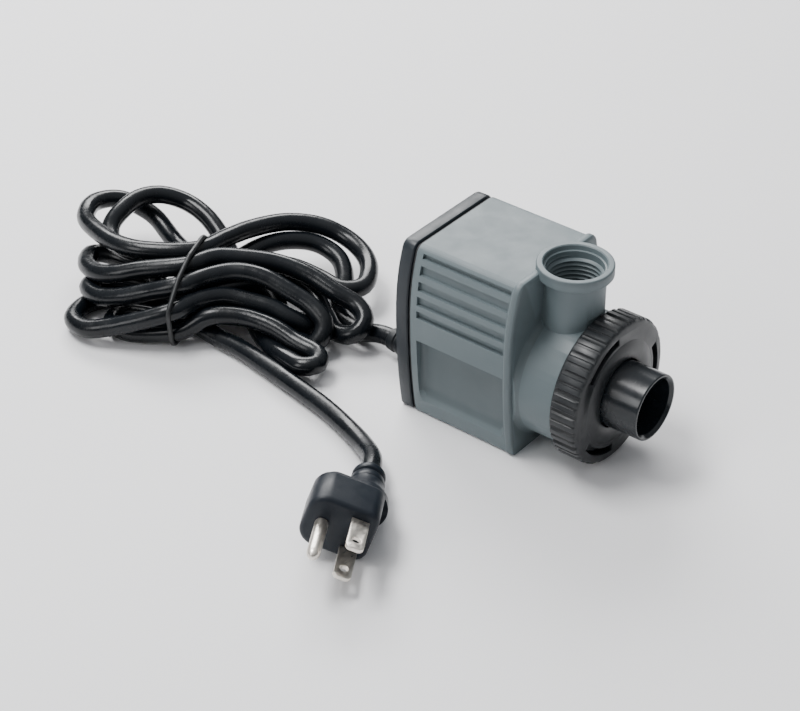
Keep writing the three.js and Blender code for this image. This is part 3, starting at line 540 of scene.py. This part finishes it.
def settle_cord(points, held_start, held_end):
    """Pushes the strands a diameter apart and eases the bends, close to where they were laid."""
    home = points.copy()
    now = points.copy()
    count = len(now)
    apart = 2 * CORD_RADIUS + CLEARANCE
    rest = np.linalg.norm(np.diff(home, axis=0), axis=1).mean()
    straightness = rest ** 2 / (2 * EASIEST_BEND)
    rows, columns = np.triu_indices(count, int(math.ceil(NEIGHBOUR_REACH * apart / rest)))
    free = np.ones((count, 1))
    free[:held_start] = 0
    free[count - held_end:] = 0
    for _ in range(SETTLE_ROUNDS):
        gap = now[rows] - now[columns]
        size = np.linalg.norm(gap, axis=1)
        near = size < apart
        away = gap[near] / np.maximum(size[near], 1e-6)[:, None]
        push = away * ((apart - size[near]) * PUSH_SHARE)[:, None]
        shift = np.zeros_like(now)
        np.add.at(shift, rows[near], push)
        np.add.at(shift, columns[near], -push)
        smooth_rows(shift, 0.25, 3)
        moved = now + free * np.clip(shift, -BIGGEST_STEP, BIGGEST_STEP)
        ease = 0.5 * (moved[:-2] + moved[2:]) - moved[1:-1]
        bend = np.linalg.norm(ease, axis=1)
        excess = np.clip(1 - straightness / np.maximum(bend, 1e-6), 0, 1)
        moved[1:-1] += free[1:-1] * EASE_SHARE * excess[:, None] * ease
        drift = moved - home
        smooth_rows(drift, 0.2, 2)
        now = home + free * drift * KEPT_DRIFT
        from_tie = (now[:, :2] - TIE_MIDDLE) @ ALONG
        low = CORD_RADIUS + CLEARANCE + 2 * TIE_RADIUS * np.exp(-(from_tie / TIE_REACH) ** 2)
        level = np.clip(now[:, 2], low, HIGHEST_STRAND)
        now[:, 2] = np.where(free[:, 0] > 0, level, now[:, 2])
    return now


# The plug's front face, and how it is turned
PLUG_FACE = (-105.9, 2.35, 12.6)
PLUG_TURN = (Matrix.Rotation(math.radians(211.5), 4, "Z") @ Matrix.Rotation(math.radians(-5), 4, "Y")
             @ Matrix.Rotation(math.radians(-19.5), 4, "X"))
PLUG_PLACE = Matrix.Translation(PLUG_FACE) @ PLUG_TURN

BLADE_LENGTH = 17
BLADE_WIDTH = 6.35
BLADE_THICKNESS = 1.5
BLADE_SPACING = 12.7
HOLE_FROM_TIP = 5
HOLE_RADIUS = 1.6
HOLE_STEPS = 32
PIN_FROM_BLADES = 11.9

RELIEF_GROOVES = 5
RELIEF_GROOVE_PITCH = 3.4


def tube_curve(name, points, radius, look, cyclic=False):
    data = bpy.data.curves.new(name, "CURVE")
    data.dimensions = "3D"
    data.bevel_depth = radius * MM
    data.bevel_resolution = 6
    data.use_fill_caps = not cyclic
    spline = data.splines.new("POLY")
    spline.points.add(len(points) - 1)
    for place, point in zip(spline.points, points):
        place.co = (*(float(value) * MM for value in point), 1)
    spline.use_smooth = True
    spline.use_cyclic_u = cyclic
    thing = bpy.data.objects.new(name, data)
    bpy.context.scene.collection.objects.link(thing)
    data.materials.append(LOOKS[look])
    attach(thing, "root")
    return thing


def cord_route():
    laid = smooth_samples(first_route(), LAY_SPACING)
    tail_length = sum(math.dist(a, b) for a, b in zip(TAIL_ROUTE, TAIL_ROUTE[1:]))
    settled = settle_cord(laid, HELD_AT_EXIT, int(tail_length / LAY_SPACING) + 1)
    inside_collar = PLUG_PLACE @ Vector((-INSIDE_COLLAR, 0, 0))
    inside_relief = (RELIEF_X, RELIEF_END - INSIDE_RELIEF, RELIEF_Z)
    return np.vstack([inside_relief, settled, inside_collar])


def make_tie(route):
    """Band drawn tight round the strands where they cross the tie's plane."""
    depth = (route[:, :2] - TIE_MIDDLE) @ ALONG
    across = (route[:, :2] - TIE_MIDDLE) @ ACROSS
    held = []
    for here in range(len(route) - 1):
        if depth[here] * depth[here + 1] <= 0 and abs(across[here]) < STRANDS_WITHIN:
            share = depth[here] / (depth[here] - depth[here + 1])
            held.append((across[here] + share * (across[here + 1] - across[here]),
                         route[here, 2] + share * (route[here + 1, 2] - route[here, 2])))
    held = np.array(held)
    reach = CORD_RADIUS + TIE_RADIUS * TIE_PRESS
    points = []
    for step in range(TIE_STEPS):
        angle = step / TIE_STEPS * math.tau
        way = np.array([math.cos(angle), math.sin(angle)])
        outermost = held[np.argmax(held @ way)] + reach * way
        x, y = TIE_MIDDLE + ACROSS * outermost[0]
        points.append((x, y, max(outermost[1], TIE_RADIUS + CLEARANCE)))
    tie = tube_curve("hank_tie", points, TIE_RADIUS, "tie_plastic", cyclic=True)
    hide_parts("cord_tie")


def plug_section(inset, steps=10):
    """The plug head's section: a square side by the blades, a round lobe by the ground pin."""
    plain, half, corner = 6.4 - inset, 10.6 - inset, 4.5
    lobe, lobe_radius = -12 + inset * 0.4, 6.5 - inset * 0.6
    centres = [
        (plain - corner, half - corner, corner, 0),
        (lobe, half - lobe_radius, lobe_radius, 90),
        (lobe, lobe_radius - half, lobe_radius, 180),
        (plain - corner, corner - half, corner, 270),
    ]
    points = []
    for y, z, radius, start in centres:
        for step in range(steps + 1):
            angle = math.radians(start + 90 * step / steps)
            points.append((y + radius * math.cos(angle), z + radius * math.sin(angle)))
    return points


def plug_loft(name, stations):
    return loft(name, [[(x, y, z) for y, z in plug_section(inset)] for x, inset in stations])


def finish_plug_piece(thing, look, replaced, bevel=0.0):
    thing.data.transform(PLUG_PLACE)
    return finish_piece(thing, look, "root", replaced, bevel=bevel)


def make_plug():
    head = plug_loft("plug_head", [
        (0, 1.5), (-0.25, 0.8), (-0.8, 0.25), (-1.6, 0), (-15.6, 0),
        (-16.5, 0.25), (-17.1, 0.8), (-17.4, 1.6), (-17.5, 2.6),
    ])
    shoulder = plug_loft("shoulder", [(-15, 1.9), (-19.4, 1.9), (-20.4, 2.3), (-21, 3.2)])
    neck_profile = [
        (0, -17), (9.3, -17), (9.1, -20.5), (8.2, -22.2), (7.2, -24.5), (6.7, -27), (6.6, -28.7),
        (6.3, -29), (0, -29),
    ]
    neck = turned("neck", neck_profile, axis="X", steps=64)
    combine(head, [shoulder, neck], "UNION")
    body = finish_plug_piece(head, "plug_rubber", ["plug_body"], bevel=0.35)
    rings = [
        (0, -29.3), (6.2, -29.3), (6.35, -29.6), (6.35, -32.1), (6.1, -32.5), (5.1, -32.8), (5.0, -33.6),
        (5.1, -34.2), (5.9, -34.5), (6.1, -34.9), (6.1, -36.6), (5.8, -37.0), (4.7, -37.5), (4.4, -38.2),
        (4.2, -40), (0, -40),
    ]
    collar = turned("collar", rings, axis="X", steps=64)
    finish_plug_piece(collar, "plug_rubber", ["plug_collar"], bevel=0.2)
    pieces = [body, collar]
    for side, node in ((1, "upper_blade"), (-1, "lower_blade")):
        pieces.append(finish_plug_piece(blade(side), "nickel", [node], bevel=0.18))
    pin_profile = [
        (0, 0.3), (2.38, 0.3), (2.38, 17.4), (2.2, 18.5), (1.75, 19.5), (1.0, 20.2), (0.4, 20.45), (0, 20.5),
    ]
    pin = turned("ground_prong", pin_profile, axis="X", at=(0, -PIN_FROM_BLADES, 0), steps=48)
    pieces.append(finish_plug_piece(pin, "nickel", ["ground_pin"]))
    return pieces


def blade(side):
    """A flat blade with clipped corners and a hole near its tip."""
    length, half, chamfer = BLADE_LENGTH, BLADE_WIDTH / 2, 1.5
    outline = [
        (0.3, -half), (length - chamfer, -half), (length - 0.4, -half + 0.8), (length, -half + chamfer),
        (length, half - chamfer), (length - 0.4, half - 0.8), (length - chamfer, half), (0.3, half),
    ]
    middle = side * BLADE_SPACING / 2
    faces = (middle - BLADE_THICKNESS / 2, middle + BLADE_THICKNESS / 2)
    name = "blade_up" if side > 0 else "blade_down"
    thing = loft(name, [[(x, y, z) for x, y in outline] for z in faces])
    circle = []
    for step in range(HOLE_STEPS):
        angle = step / HOLE_STEPS * math.tau
        circle.append((length - HOLE_FROM_TIP + HOLE_RADIUS * math.cos(angle), HOLE_RADIUS * math.sin(angle)))
    drill = loft("drill", [[(x, y, z) for x, y in circle] for z in (middle - 2, middle + 2)])
    return combine(thing, [drill], "DIFFERENCE")


def make_relief():
    """Tapered sleeve with rounded grooves, over the cord's exit from the cover."""
    profile = [
        (0, 38), (3.8, 38), (3.8, COVER_BACK + 0.2), (6.2, COVER_BACK + 0.3), (6.4, COVER_BACK + 0.6),
        (6.4, COVER_BACK + 1.6), (5.9, COVER_BACK + 2.3),
    ]
    for groove in range(RELIEF_GROOVES):
        start = COVER_BACK + 4.2 + groove * RELIEF_GROOVE_PITCH
        radius = 5.8 - groove * 0.24
        profile += [
            (radius, start), (radius - 0.7, start + 0.4), (radius - 0.7, start + 1.4),
            (radius - 0.1, start + 1.8),
        ]
    profile += [(CORD_RADIUS + 0.55, RELIEF_END - 0.4), (CORD_RADIUS + 0.2, RELIEF_END), (0, RELIEF_END)]
    relief = turned("strain_relief", profile, at=(RELIEF_X, 0, RELIEF_Z), steps=72)
    return finish_piece(relief, "cord_rubber", "root", ["cord_relief"], bevel=0.15, segments=2)


def make_cord():
    route = cord_route()
    cord = tube_curve("power_cord", smooth_samples(route, DRAW_SPACING), CORD_RADIUS, "cord_jacket")
    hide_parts("cord_lead", "cord_hank", "cord_tail")
    make_tie(route)
    with_pieces = [make_relief(), *make_plug()]


make_cord()


# ---------------------------------------------------------------- housing

def bezier(p0, p1, p2, steps):
    points = []
    for step in range(1, steps + 1):
        t = step / steps
        near, middle, far = (1 - t) ** 2, 2 * t * (1 - t), t * t
        points.append(tuple(near * a + middle * b + far * c for a, b, c in zip(p0, p1, p2)))
    return points


def body_outline(inset=0.0, steps=14):
    """The housing's section in X and Z: swelling sides, flat top and foot."""
    low = max(inset, 0.0)
    high = BODY_HEIGHT - inset
    foot, belly, top = 23.4 - inset, 27.2 - inset, 23.5 - inset
    foot_corner, top_corner = max(1.8 - inset, 0.4), max(4 - inset, 0.8)
    belly_z = 45
    start = (foot - foot_corner, low)
    corner = (foot + 0.2, low + foot_corner)
    middle = (belly, belly_z)
    shoulder = (top + 0.3, high - top_corner)
    end = (top - top_corner, high)
    right = [start]
    right += bezier(start, (foot, low), corner, 6)
    right += bezier(corner, (belly, belly_z * 0.5), middle, steps)
    right += bezier(middle, (belly, (belly_z + high) / 2), shoulder, steps)
    right += bezier(shoulder, (top - 0.4, high), end, 8)
    left = [(-x, z) for x, z in reversed(right)]
    return right + left


def rounded_box(half, low, high, corner, steps=6):
    points = []
    centres = [(half - corner, low + corner, -90), (half - corner, high - corner, 0),
               (corner - half, high - corner, 90), (corner - half, low + corner, 180)]
    for x, z, start in centres:
        for step in range(steps + 1):
            angle = math.radians(start + 90 * step / steps)
            points.append((x + corner * math.cos(angle), z + corner * math.sin(angle)))
    return points


def outline_loft(name, stations):
    """Skins the housing's section through (station, inset) pairs."""
    loops = [[(x, y, z) for x, z in body_outline(inset)] for y, inset in stations]
    return loft(name, loops)


RIB_PITCH = 6.0
RIB_HEIGHT = 2.4
RIB_COUNT = 4
FIRST_RIB_TOP = 68.2
GROOVE_DEPTH = 1.4
SIDE_BORDER = 3.0
SIDE_FRONT = HOUSING_FRONT + 3.7
VOLUTE_RADIUS = 25.4


def side_grooves():
    """Slots between the side ribs, down to a skin parallel to the outside."""
    levels = [(FIRST_RIB_TOP, FIRST_RIB_TOP + 2)]
    for rib in range(RIB_COUNT):
        rib_foot = FIRST_RIB_TOP - rib * RIB_PITCH - RIB_HEIGHT
        depth = 3.0 if rib == RIB_COUNT - 1 else RIB_PITCH - RIB_HEIGHT
        levels.append((rib_foot - depth, rib_foot))
    back = HOUSING_BACK - SIDE_BORDER
    skin = prism_y("skin", body_outline(GROOVE_DEPTH), back + 1, SIDE_FRONT - 1)
    slabs = [box_solid("slab", -40, 40, SIDE_FRONT, back, low, high) for low, high in levels]
    field = combine(slabs[0], slabs[1:], "UNION")
    return combine(field, [skin], "DIFFERENCE")


def side_panel(sign):
    """Recess low on each side: flat floor, filleted corners and a sloping ledge at its foot."""
    floor, foot, top = 22.6, 12.0, 34.8
    section = [(24.4, 7.0), (floor + 0.6, foot - 1.0)]
    section += bezier((floor + 0.6, foot - 1.0), (floor, foot), (floor, foot + 1.6), 5)
    section += [(floor, top - 1.4)]
    section += bezier((floor, top - 1.4), (floor, top), (floor + 1.4, top + 0.05), 5)
    section += [(36.0, top + 0.3), (36.0, -3.0)]
    back = HOUSING_BACK - SIDE_BORDER
    loops = []
    stations = [
        (back, 2.0), (back - 0.35, 1.1), (back - 1.0, 0.4), (back - 2.2, 0.0),
        (SIDE_FRONT + 2.2, 0.0), (SIDE_FRONT + 1.0, 0.4), (SIDE_FRONT + 0.35, 1.1), (SIDE_FRONT, 2.0),
    ]
    for y, pull in stations:
        loops.append([(sign * min(x + pull, 36.0) if x < 30 else sign * x, y, z) for x, z in section])
    return loft("side_panel_cut", loops)


def volute():
    """Pump chamber wall, flaring into the front plate and cut to the plate's own outline."""
    flare = 3.0
    profile = [(0, HOUSING_FRONT + 2)]
    for step in range(11):
        angle = math.radians(90 * step / 10)
        radius = VOLUTE_RADIUS + flare * (1 - math.sin(angle))
        profile.append((radius, HOUSING_FRONT + 0.2 - flare * (1 - math.cos(angle))))
    profile += [(VOLUTE_RADIUS, RING_BACK + 0.3), (0, RING_BACK + 0.3)]
    profile.insert(1, (VOLUTE_RADIUS + flare, HOUSING_FRONT + 2))
    shape = turned("volute", profile, at=(0, 0, AXIS_Z), steps=160)
    keep = outline_loft("volute_keep", [(HOUSING_FRONT + 3, 0.9), (HOUSING_FRONT - 6, 0.9), (-40, 0.9)])
    return combine(shape, [keep], "INTERSECT")


def outlet_neck():
    rim, neck, rim_foot = 13.94, 11.3, OUTLET_TOP - 4.2
    profile = [(0, 43), (neck + 0.1, 43), (neck, rim_foot - 1.1)]
    profile += bezier((neck, rim_foot - 1.1), (neck, rim_foot), (neck + 0.9, rim_foot), 5)
    profile += [(rim - 0.2, rim_foot), (rim, rim_foot + 0.3), (rim, OUTLET_TOP - 0.7)]
    profile += bezier((rim, OUTLET_TOP - 0.7), (rim, OUTLET_TOP), (rim - 0.7, OUTLET_TOP), 5)
    profile += [(0, OUTLET_TOP)]
    shape = turned("outlet_neck", profile, axis="Z", at=(0, OUTLET_Y, 0))
    space = rod_y("ring_space", 29.0, RING_FRONT, RING_BACK + 0.3)
    return combine(shape, [space], "DIFFERENCE")


def outlet_bore():
    mouth, root = 11.45, 10.45
    profile = [(0, 42), (9.35, 42), (9.35, 47), (root, 48.4), (root, OUTLET_TOP - 3.4)]
    profile += [(root + 0.1, OUTLET_TOP - 2.2), (mouth - 0.35, OUTLET_TOP - 1.9), (mouth, OUTLET_TOP - 0.35)]
    profile += [(mouth + 0.4, OUTLET_TOP), (mouth + 0.4, OUTLET_TOP + 2), (0, OUTLET_TOP + 2)]
    return turned("outlet_bore", profile, axis="Z", at=(0, OUTLET_Y, 0))


def make_housing():
    shell = outline_loft("housing_shell", [
        (HOUSING_BACK, 0.35), (HOUSING_BACK - 0.35, 0.0), (HOUSING_FRONT + 1, 0.0),
    ])
    flange = outline_loft("flange", [
        (HOUSING_FRONT + 3.4, 0.1), (HOUSING_FRONT + 3.0, -0.5), (HOUSING_FRONT + 2.4, -0.8),
        (HOUSING_FRONT + 1.2, -0.8), (HOUSING_FRONT + 0.55, -0.6), (HOUSING_FRONT + 0.15, -0.1),
        (HOUSING_FRONT, 0.7),
    ])
    collar = rod_y("collar", 24.6, RING_BACK + 1, -27.3)
    combine(shell, [side_grooves(), side_panel(1), side_panel(-1)], "DIFFERENCE")
    combine(shell, [flange, volute(), outlet_neck(), collar], "UNION")
    cavity = prism_y("cavity", rounded_box(20, 3, 69, 3), HOUSING_BACK + 1, CAVITY_FRONT)
    combine(shell, [cavity], "DIFFERENCE")
    combine(shell, [rod_y("well", 11, 32.5, CAVITY_FRONT - 1)], "UNION")
    chamber = rod_y("chamber", 19.5, -8, -29)
    well_bore = rod_y("well_bore", 9.4, 27, -9)
    socket = rod_y("socket", 5, 30.5, 26)
    combine(shell, [chamber, well_bore, socket, outlet_bore()], "DIFFERENCE")
    finish_piece(shell, "housing_plastic", "root", ["motor_housing"], bevel=0.38, segments=3)


def make_outlet_thread():
    """Helical ridge of the female half-inch pipe thread."""
    pitch, crest, root = 1.814, 9.35, 10.6
    top, turns, steps = OUTLET_TOP - 3.6, 12, 64
    loops = []
    for step in range(turns * steps + 1):
        angle = step / steps * math.tau
        z = top - pitch * step / steps
        fade = min(1.0, step / 40, (turns * steps - step) / 40 + 0.02)
        tip = root - (root - crest) * max(fade, 0.05)
        section = [
            (root, z + 0.82), (tip + 0.16, z + 0.2), (tip, z), (tip + 0.16, z - 0.2), (root, z - 0.82),
        ]
        c, s = math.cos(angle), math.sin(angle)
        loops.append([(r * c, OUTLET_Y + r * s, height) for r, height in section])
    thread = loft("outlet_thread", loops)
    finish_piece(thread, "housing_plastic", "root", sharp=60)


def make_cover():
    cap = outline_loft("rear_cap", [
        (COVER_FRONT, 0.45), (COVER_FRONT + 0.4, 0.0), (COVER_BACK - 1.3, 0.0), (COVER_BACK - 0.55, 0.3),
        (COVER_BACK - 0.12, 0.9), (COVER_BACK, 1.7),
    ])
    lip = prism_y("lip", rounded_box(19.6, 3.4, 68.6, 2.8), COVER_FRONT + 0.5, HOUSING_BACK - 1.5)
    hollow = prism_y("lip_hollow", rounded_box(17.8, 5.2, 66.8, 1.9), COVER_FRONT, HOUSING_BACK - 2)
    combine(lip, [hollow], "DIFFERENCE")
    hole = rod_y("cord_hole", 4.1, COVER_BACK + 1, HOUSING_BACK - 3, RELIEF_X, RELIEF_Z, 64)
    panel = prism_y("back_panel", rounded_box(17.5, 18.0, 62.0, 2.5), COVER_BACK + 1, COVER_BACK - 0.6)
    combine(cap, [lip], "UNION")
    combine(cap, [hole, panel], "DIFFERENCE")
    finish_piece(cap, "dark_plastic", "root", ["rear_cover"], bevel=0.3, segments=2)


# ---------------------------------------------------------------- inlet end

RING_TEETH = 24
SLOT_ANGLES = (120, 240, 0)
BEAD_STEPS = 12
BEAD_HEIGHT = 1.1


def make_ring():
    """Union ring: grooved teeth round the rim, a rounded bead and three slots in its face."""
    outer, groove, crown = 28.15, 27.35, 27.6
    outline_points = []
    pitch = math.tau / RING_TEETH
    section = [
        (-0.37, outer - 0.25), (-0.33, outer), (-0.08, outer + 0.05), (-0.05, outer - 0.42),
        (0.05, outer - 0.42), (0.08, outer + 0.05), (0.33, outer), (0.37, outer - 0.25),
        (0.41, groove), (0.5, groove - 0.05), (0.59, groove),
    ]
    for tooth in range(RING_TEETH):
        for part, radius in section:
            angle = (tooth + part) * pitch
            outline_points.append((radius, angle))

    def ring_loop(y, shrink=0.0, limit=99.0):
        loop = []
        for radius, angle in outline_points:
            kept = min(radius - shrink, limit)
            loop.append((kept * math.cos(angle), y, AXIS_Z + kept * math.sin(angle)))
        return loop

    blank = loft("knurled_ring", [
        ring_loop(RING_BACK, 0.0, groove - 0.4), ring_loop(RING_BACK - 0.7, 0.0, groove + 0.1),
        ring_loop(RING_BACK - 0.95), ring_loop(RING_FRONT + 1.6), ring_loop(RING_FRONT + 0.8, 0.35),
        ring_loop(RING_FRONT + 0.45, 0.0, crown - 0.3), ring_loop(RING_FRONT, 0.0, crown - 1.2),
    ])
    bead_profile = [(13.3, RING_FRONT + 0.6), (13.3, RING_FRONT - 0.5)]
    for step in range(BEAD_STEPS + 1):
        along = step / BEAD_STEPS
        swell = BEAD_HEIGHT * math.sin(math.pi * (0.22 + 0.78 * along))
        bead_profile.append((13.7 + along * 6.6, RING_FRONT - swell - 0.02))
    bead_profile.append((20.6, RING_FRONT + 0.6))
    bead = turned("bead", bead_profile, at=(0, 0, AXIS_Z))
    combine(blank, [bead], "UNION")
    bore = rod_y("bore", 24.9, RING_BACK + 1, RING_FRONT + 2.55)
    hole = rod_y("hole", 13.3, RING_FRONT + 4, RING_FRONT - 3)
    slots = [slot_cut(math.radians(angle)) for angle in SLOT_ANGLES]
    combine(blank, [bore, hole, *slots], "DIFFERENCE")
    finish_piece(blank, "ring_plastic", "ring", ["union_ring"], bevel=0.16, segments=2, limit=40)


def slot_cut(middle):
    inner, outer, half = 21.6, 24.5, math.radians(24)
    steps = 18
    points = []
    for step in range(steps + 1):
        angle = middle - half + 2 * half * step / steps
        points.append((outer * math.cos(angle), AXIS_Z + outer * math.sin(angle)))
    for step in range(steps, -1, -1):
        angle = middle - half + 2 * half * step / steps
        points.append((inner * math.cos(angle), AXIS_Z + inner * math.sin(angle)))
    return prism_y("slot_cut", points, RING_FRONT + 4, RING_FRONT - 2)


def make_cap():
    bore, tube = 10.8, 12.7
    lip = SPIGOT_END
    profile = [(bore, lip + 1.2), (bore + 0.9, lip + 0.12), (bore + 1.05, lip), (tube - 0.55, lip)]
    profile += bezier((tube - 0.55, lip), (tube, lip), (tube, lip + 0.6), 4)
    profile += [
        (tube, -30.1), (23.6, -30.1), (23.9, -29.8), (23.9, -27.9), (23.6, -27.6), (19.2, -27.6),
        (19.2, -25.5), (17.2, -25.5), (17.2, -23.1), (19.2, -23.1), (19.2, -20.8), (18.9, -20.5),
        (bore, -20.5),
    ]
    shell = turned("spigot_cap", profile, at=(0, 0, AXIS_Z))
    sleeve = [(4.5, -24.3), (6.2, -24.3), (6.2, -20.5), (4.5, -20.5)]
    holder = turned("bush_holder", sleeve, at=(0, 0, AXIS_Z), steps=64)
    spokes = []
    for angle in (90, 210, 330):
        spoke = box_solid("spoke", 5.2, 11.6, -24.2, -20.8, -0.8, 0.8)
        turn = Matrix.Rotation(-math.radians(angle), 4, "Y")
        spoke.data.transform(Matrix.Translation((0, 0, AXIS_Z)) @ turn)
        spokes.append(spoke)
    combine(shell, [holder, *spokes], "UNION")
    finish_piece(shell, "gloss_plastic", "inlet_end", ["inlet_cap"], bevel=0.12, segments=2, limit=50)


make_housing()
make_outlet_thread()
make_cover()
make_ring()
make_cap()


# ---------------------------------------------------------------- floor and light

def make_floor():
    floor = mesh_object("floor", [(-3, -3, 0), (3, -3, 0), (3, 3, 0), (-3, 3, 0)], [(0, 1, 2, 3)])
    material, tree, surface, where = shader("floor_card", (0.78, 0.775, 0.785), 0.7)
    drift = noise(tree, where, 1.5, 2)
    base = ramp(tree, drift, [(0.3, (0.84, 0.835, 0.845)), (0.7, (0.88, 0.875, 0.885))])
    tree.links.new(base, surface.inputs["Base Color"])
    floor.data.materials.append(material)


def area_light(name, place, aim, size, power):
    data = bpy.data.lights.new(name, "AREA")
    data.shape = "RECTANGLE"
    data.size, data.size_y = size
    data.energy = power
    light = bpy.data.objects.new(name, data)
    light.location = place
    direction = Vector(aim) - Vector(place)
    light.rotation_euler = direction.to_track_quat("-Z", "Y").to_euler()
    bpy.context.scene.collection.objects.link(light)


def make_light():
    world = bpy.data.worlds.new("studio")
    world.use_nodes = True
    tree = world.node_tree
    background = tree.nodes["Background"]
    background.inputs["Color"].default_value = (0.95, 0.97, 1.0, 1)
    split = tree.nodes.new("ShaderNodeSeparateXYZ")
    coords = tree.nodes.new("ShaderNodeTexCoord")
    tree.links.new(coords.outputs["Generated"], split.inputs["Vector"])
    strength = spread(tree, split.outputs["Z"], 0.12, 0.8, 0.2, 1.0)
    tree.links.new(strength, background.inputs["Strength"])
    bpy.context.scene.world = world
    area_light("back_key", (0.75, 0.95, 0.85), (-0.02, 0.08, 0.0), (1.0, 0.5), 25.0)
    area_light("overhead", (-0.25, 0.55, 1.25), (-0.02, 0.08, 0.0), (0.7, 0.4), 19.0)
    area_light("side_fill", (-1.25, 0.45, 0.75), (-0.02, 0.08, 0.02), (0.5, 0.6), 5.0)


make_floor()
make_light()
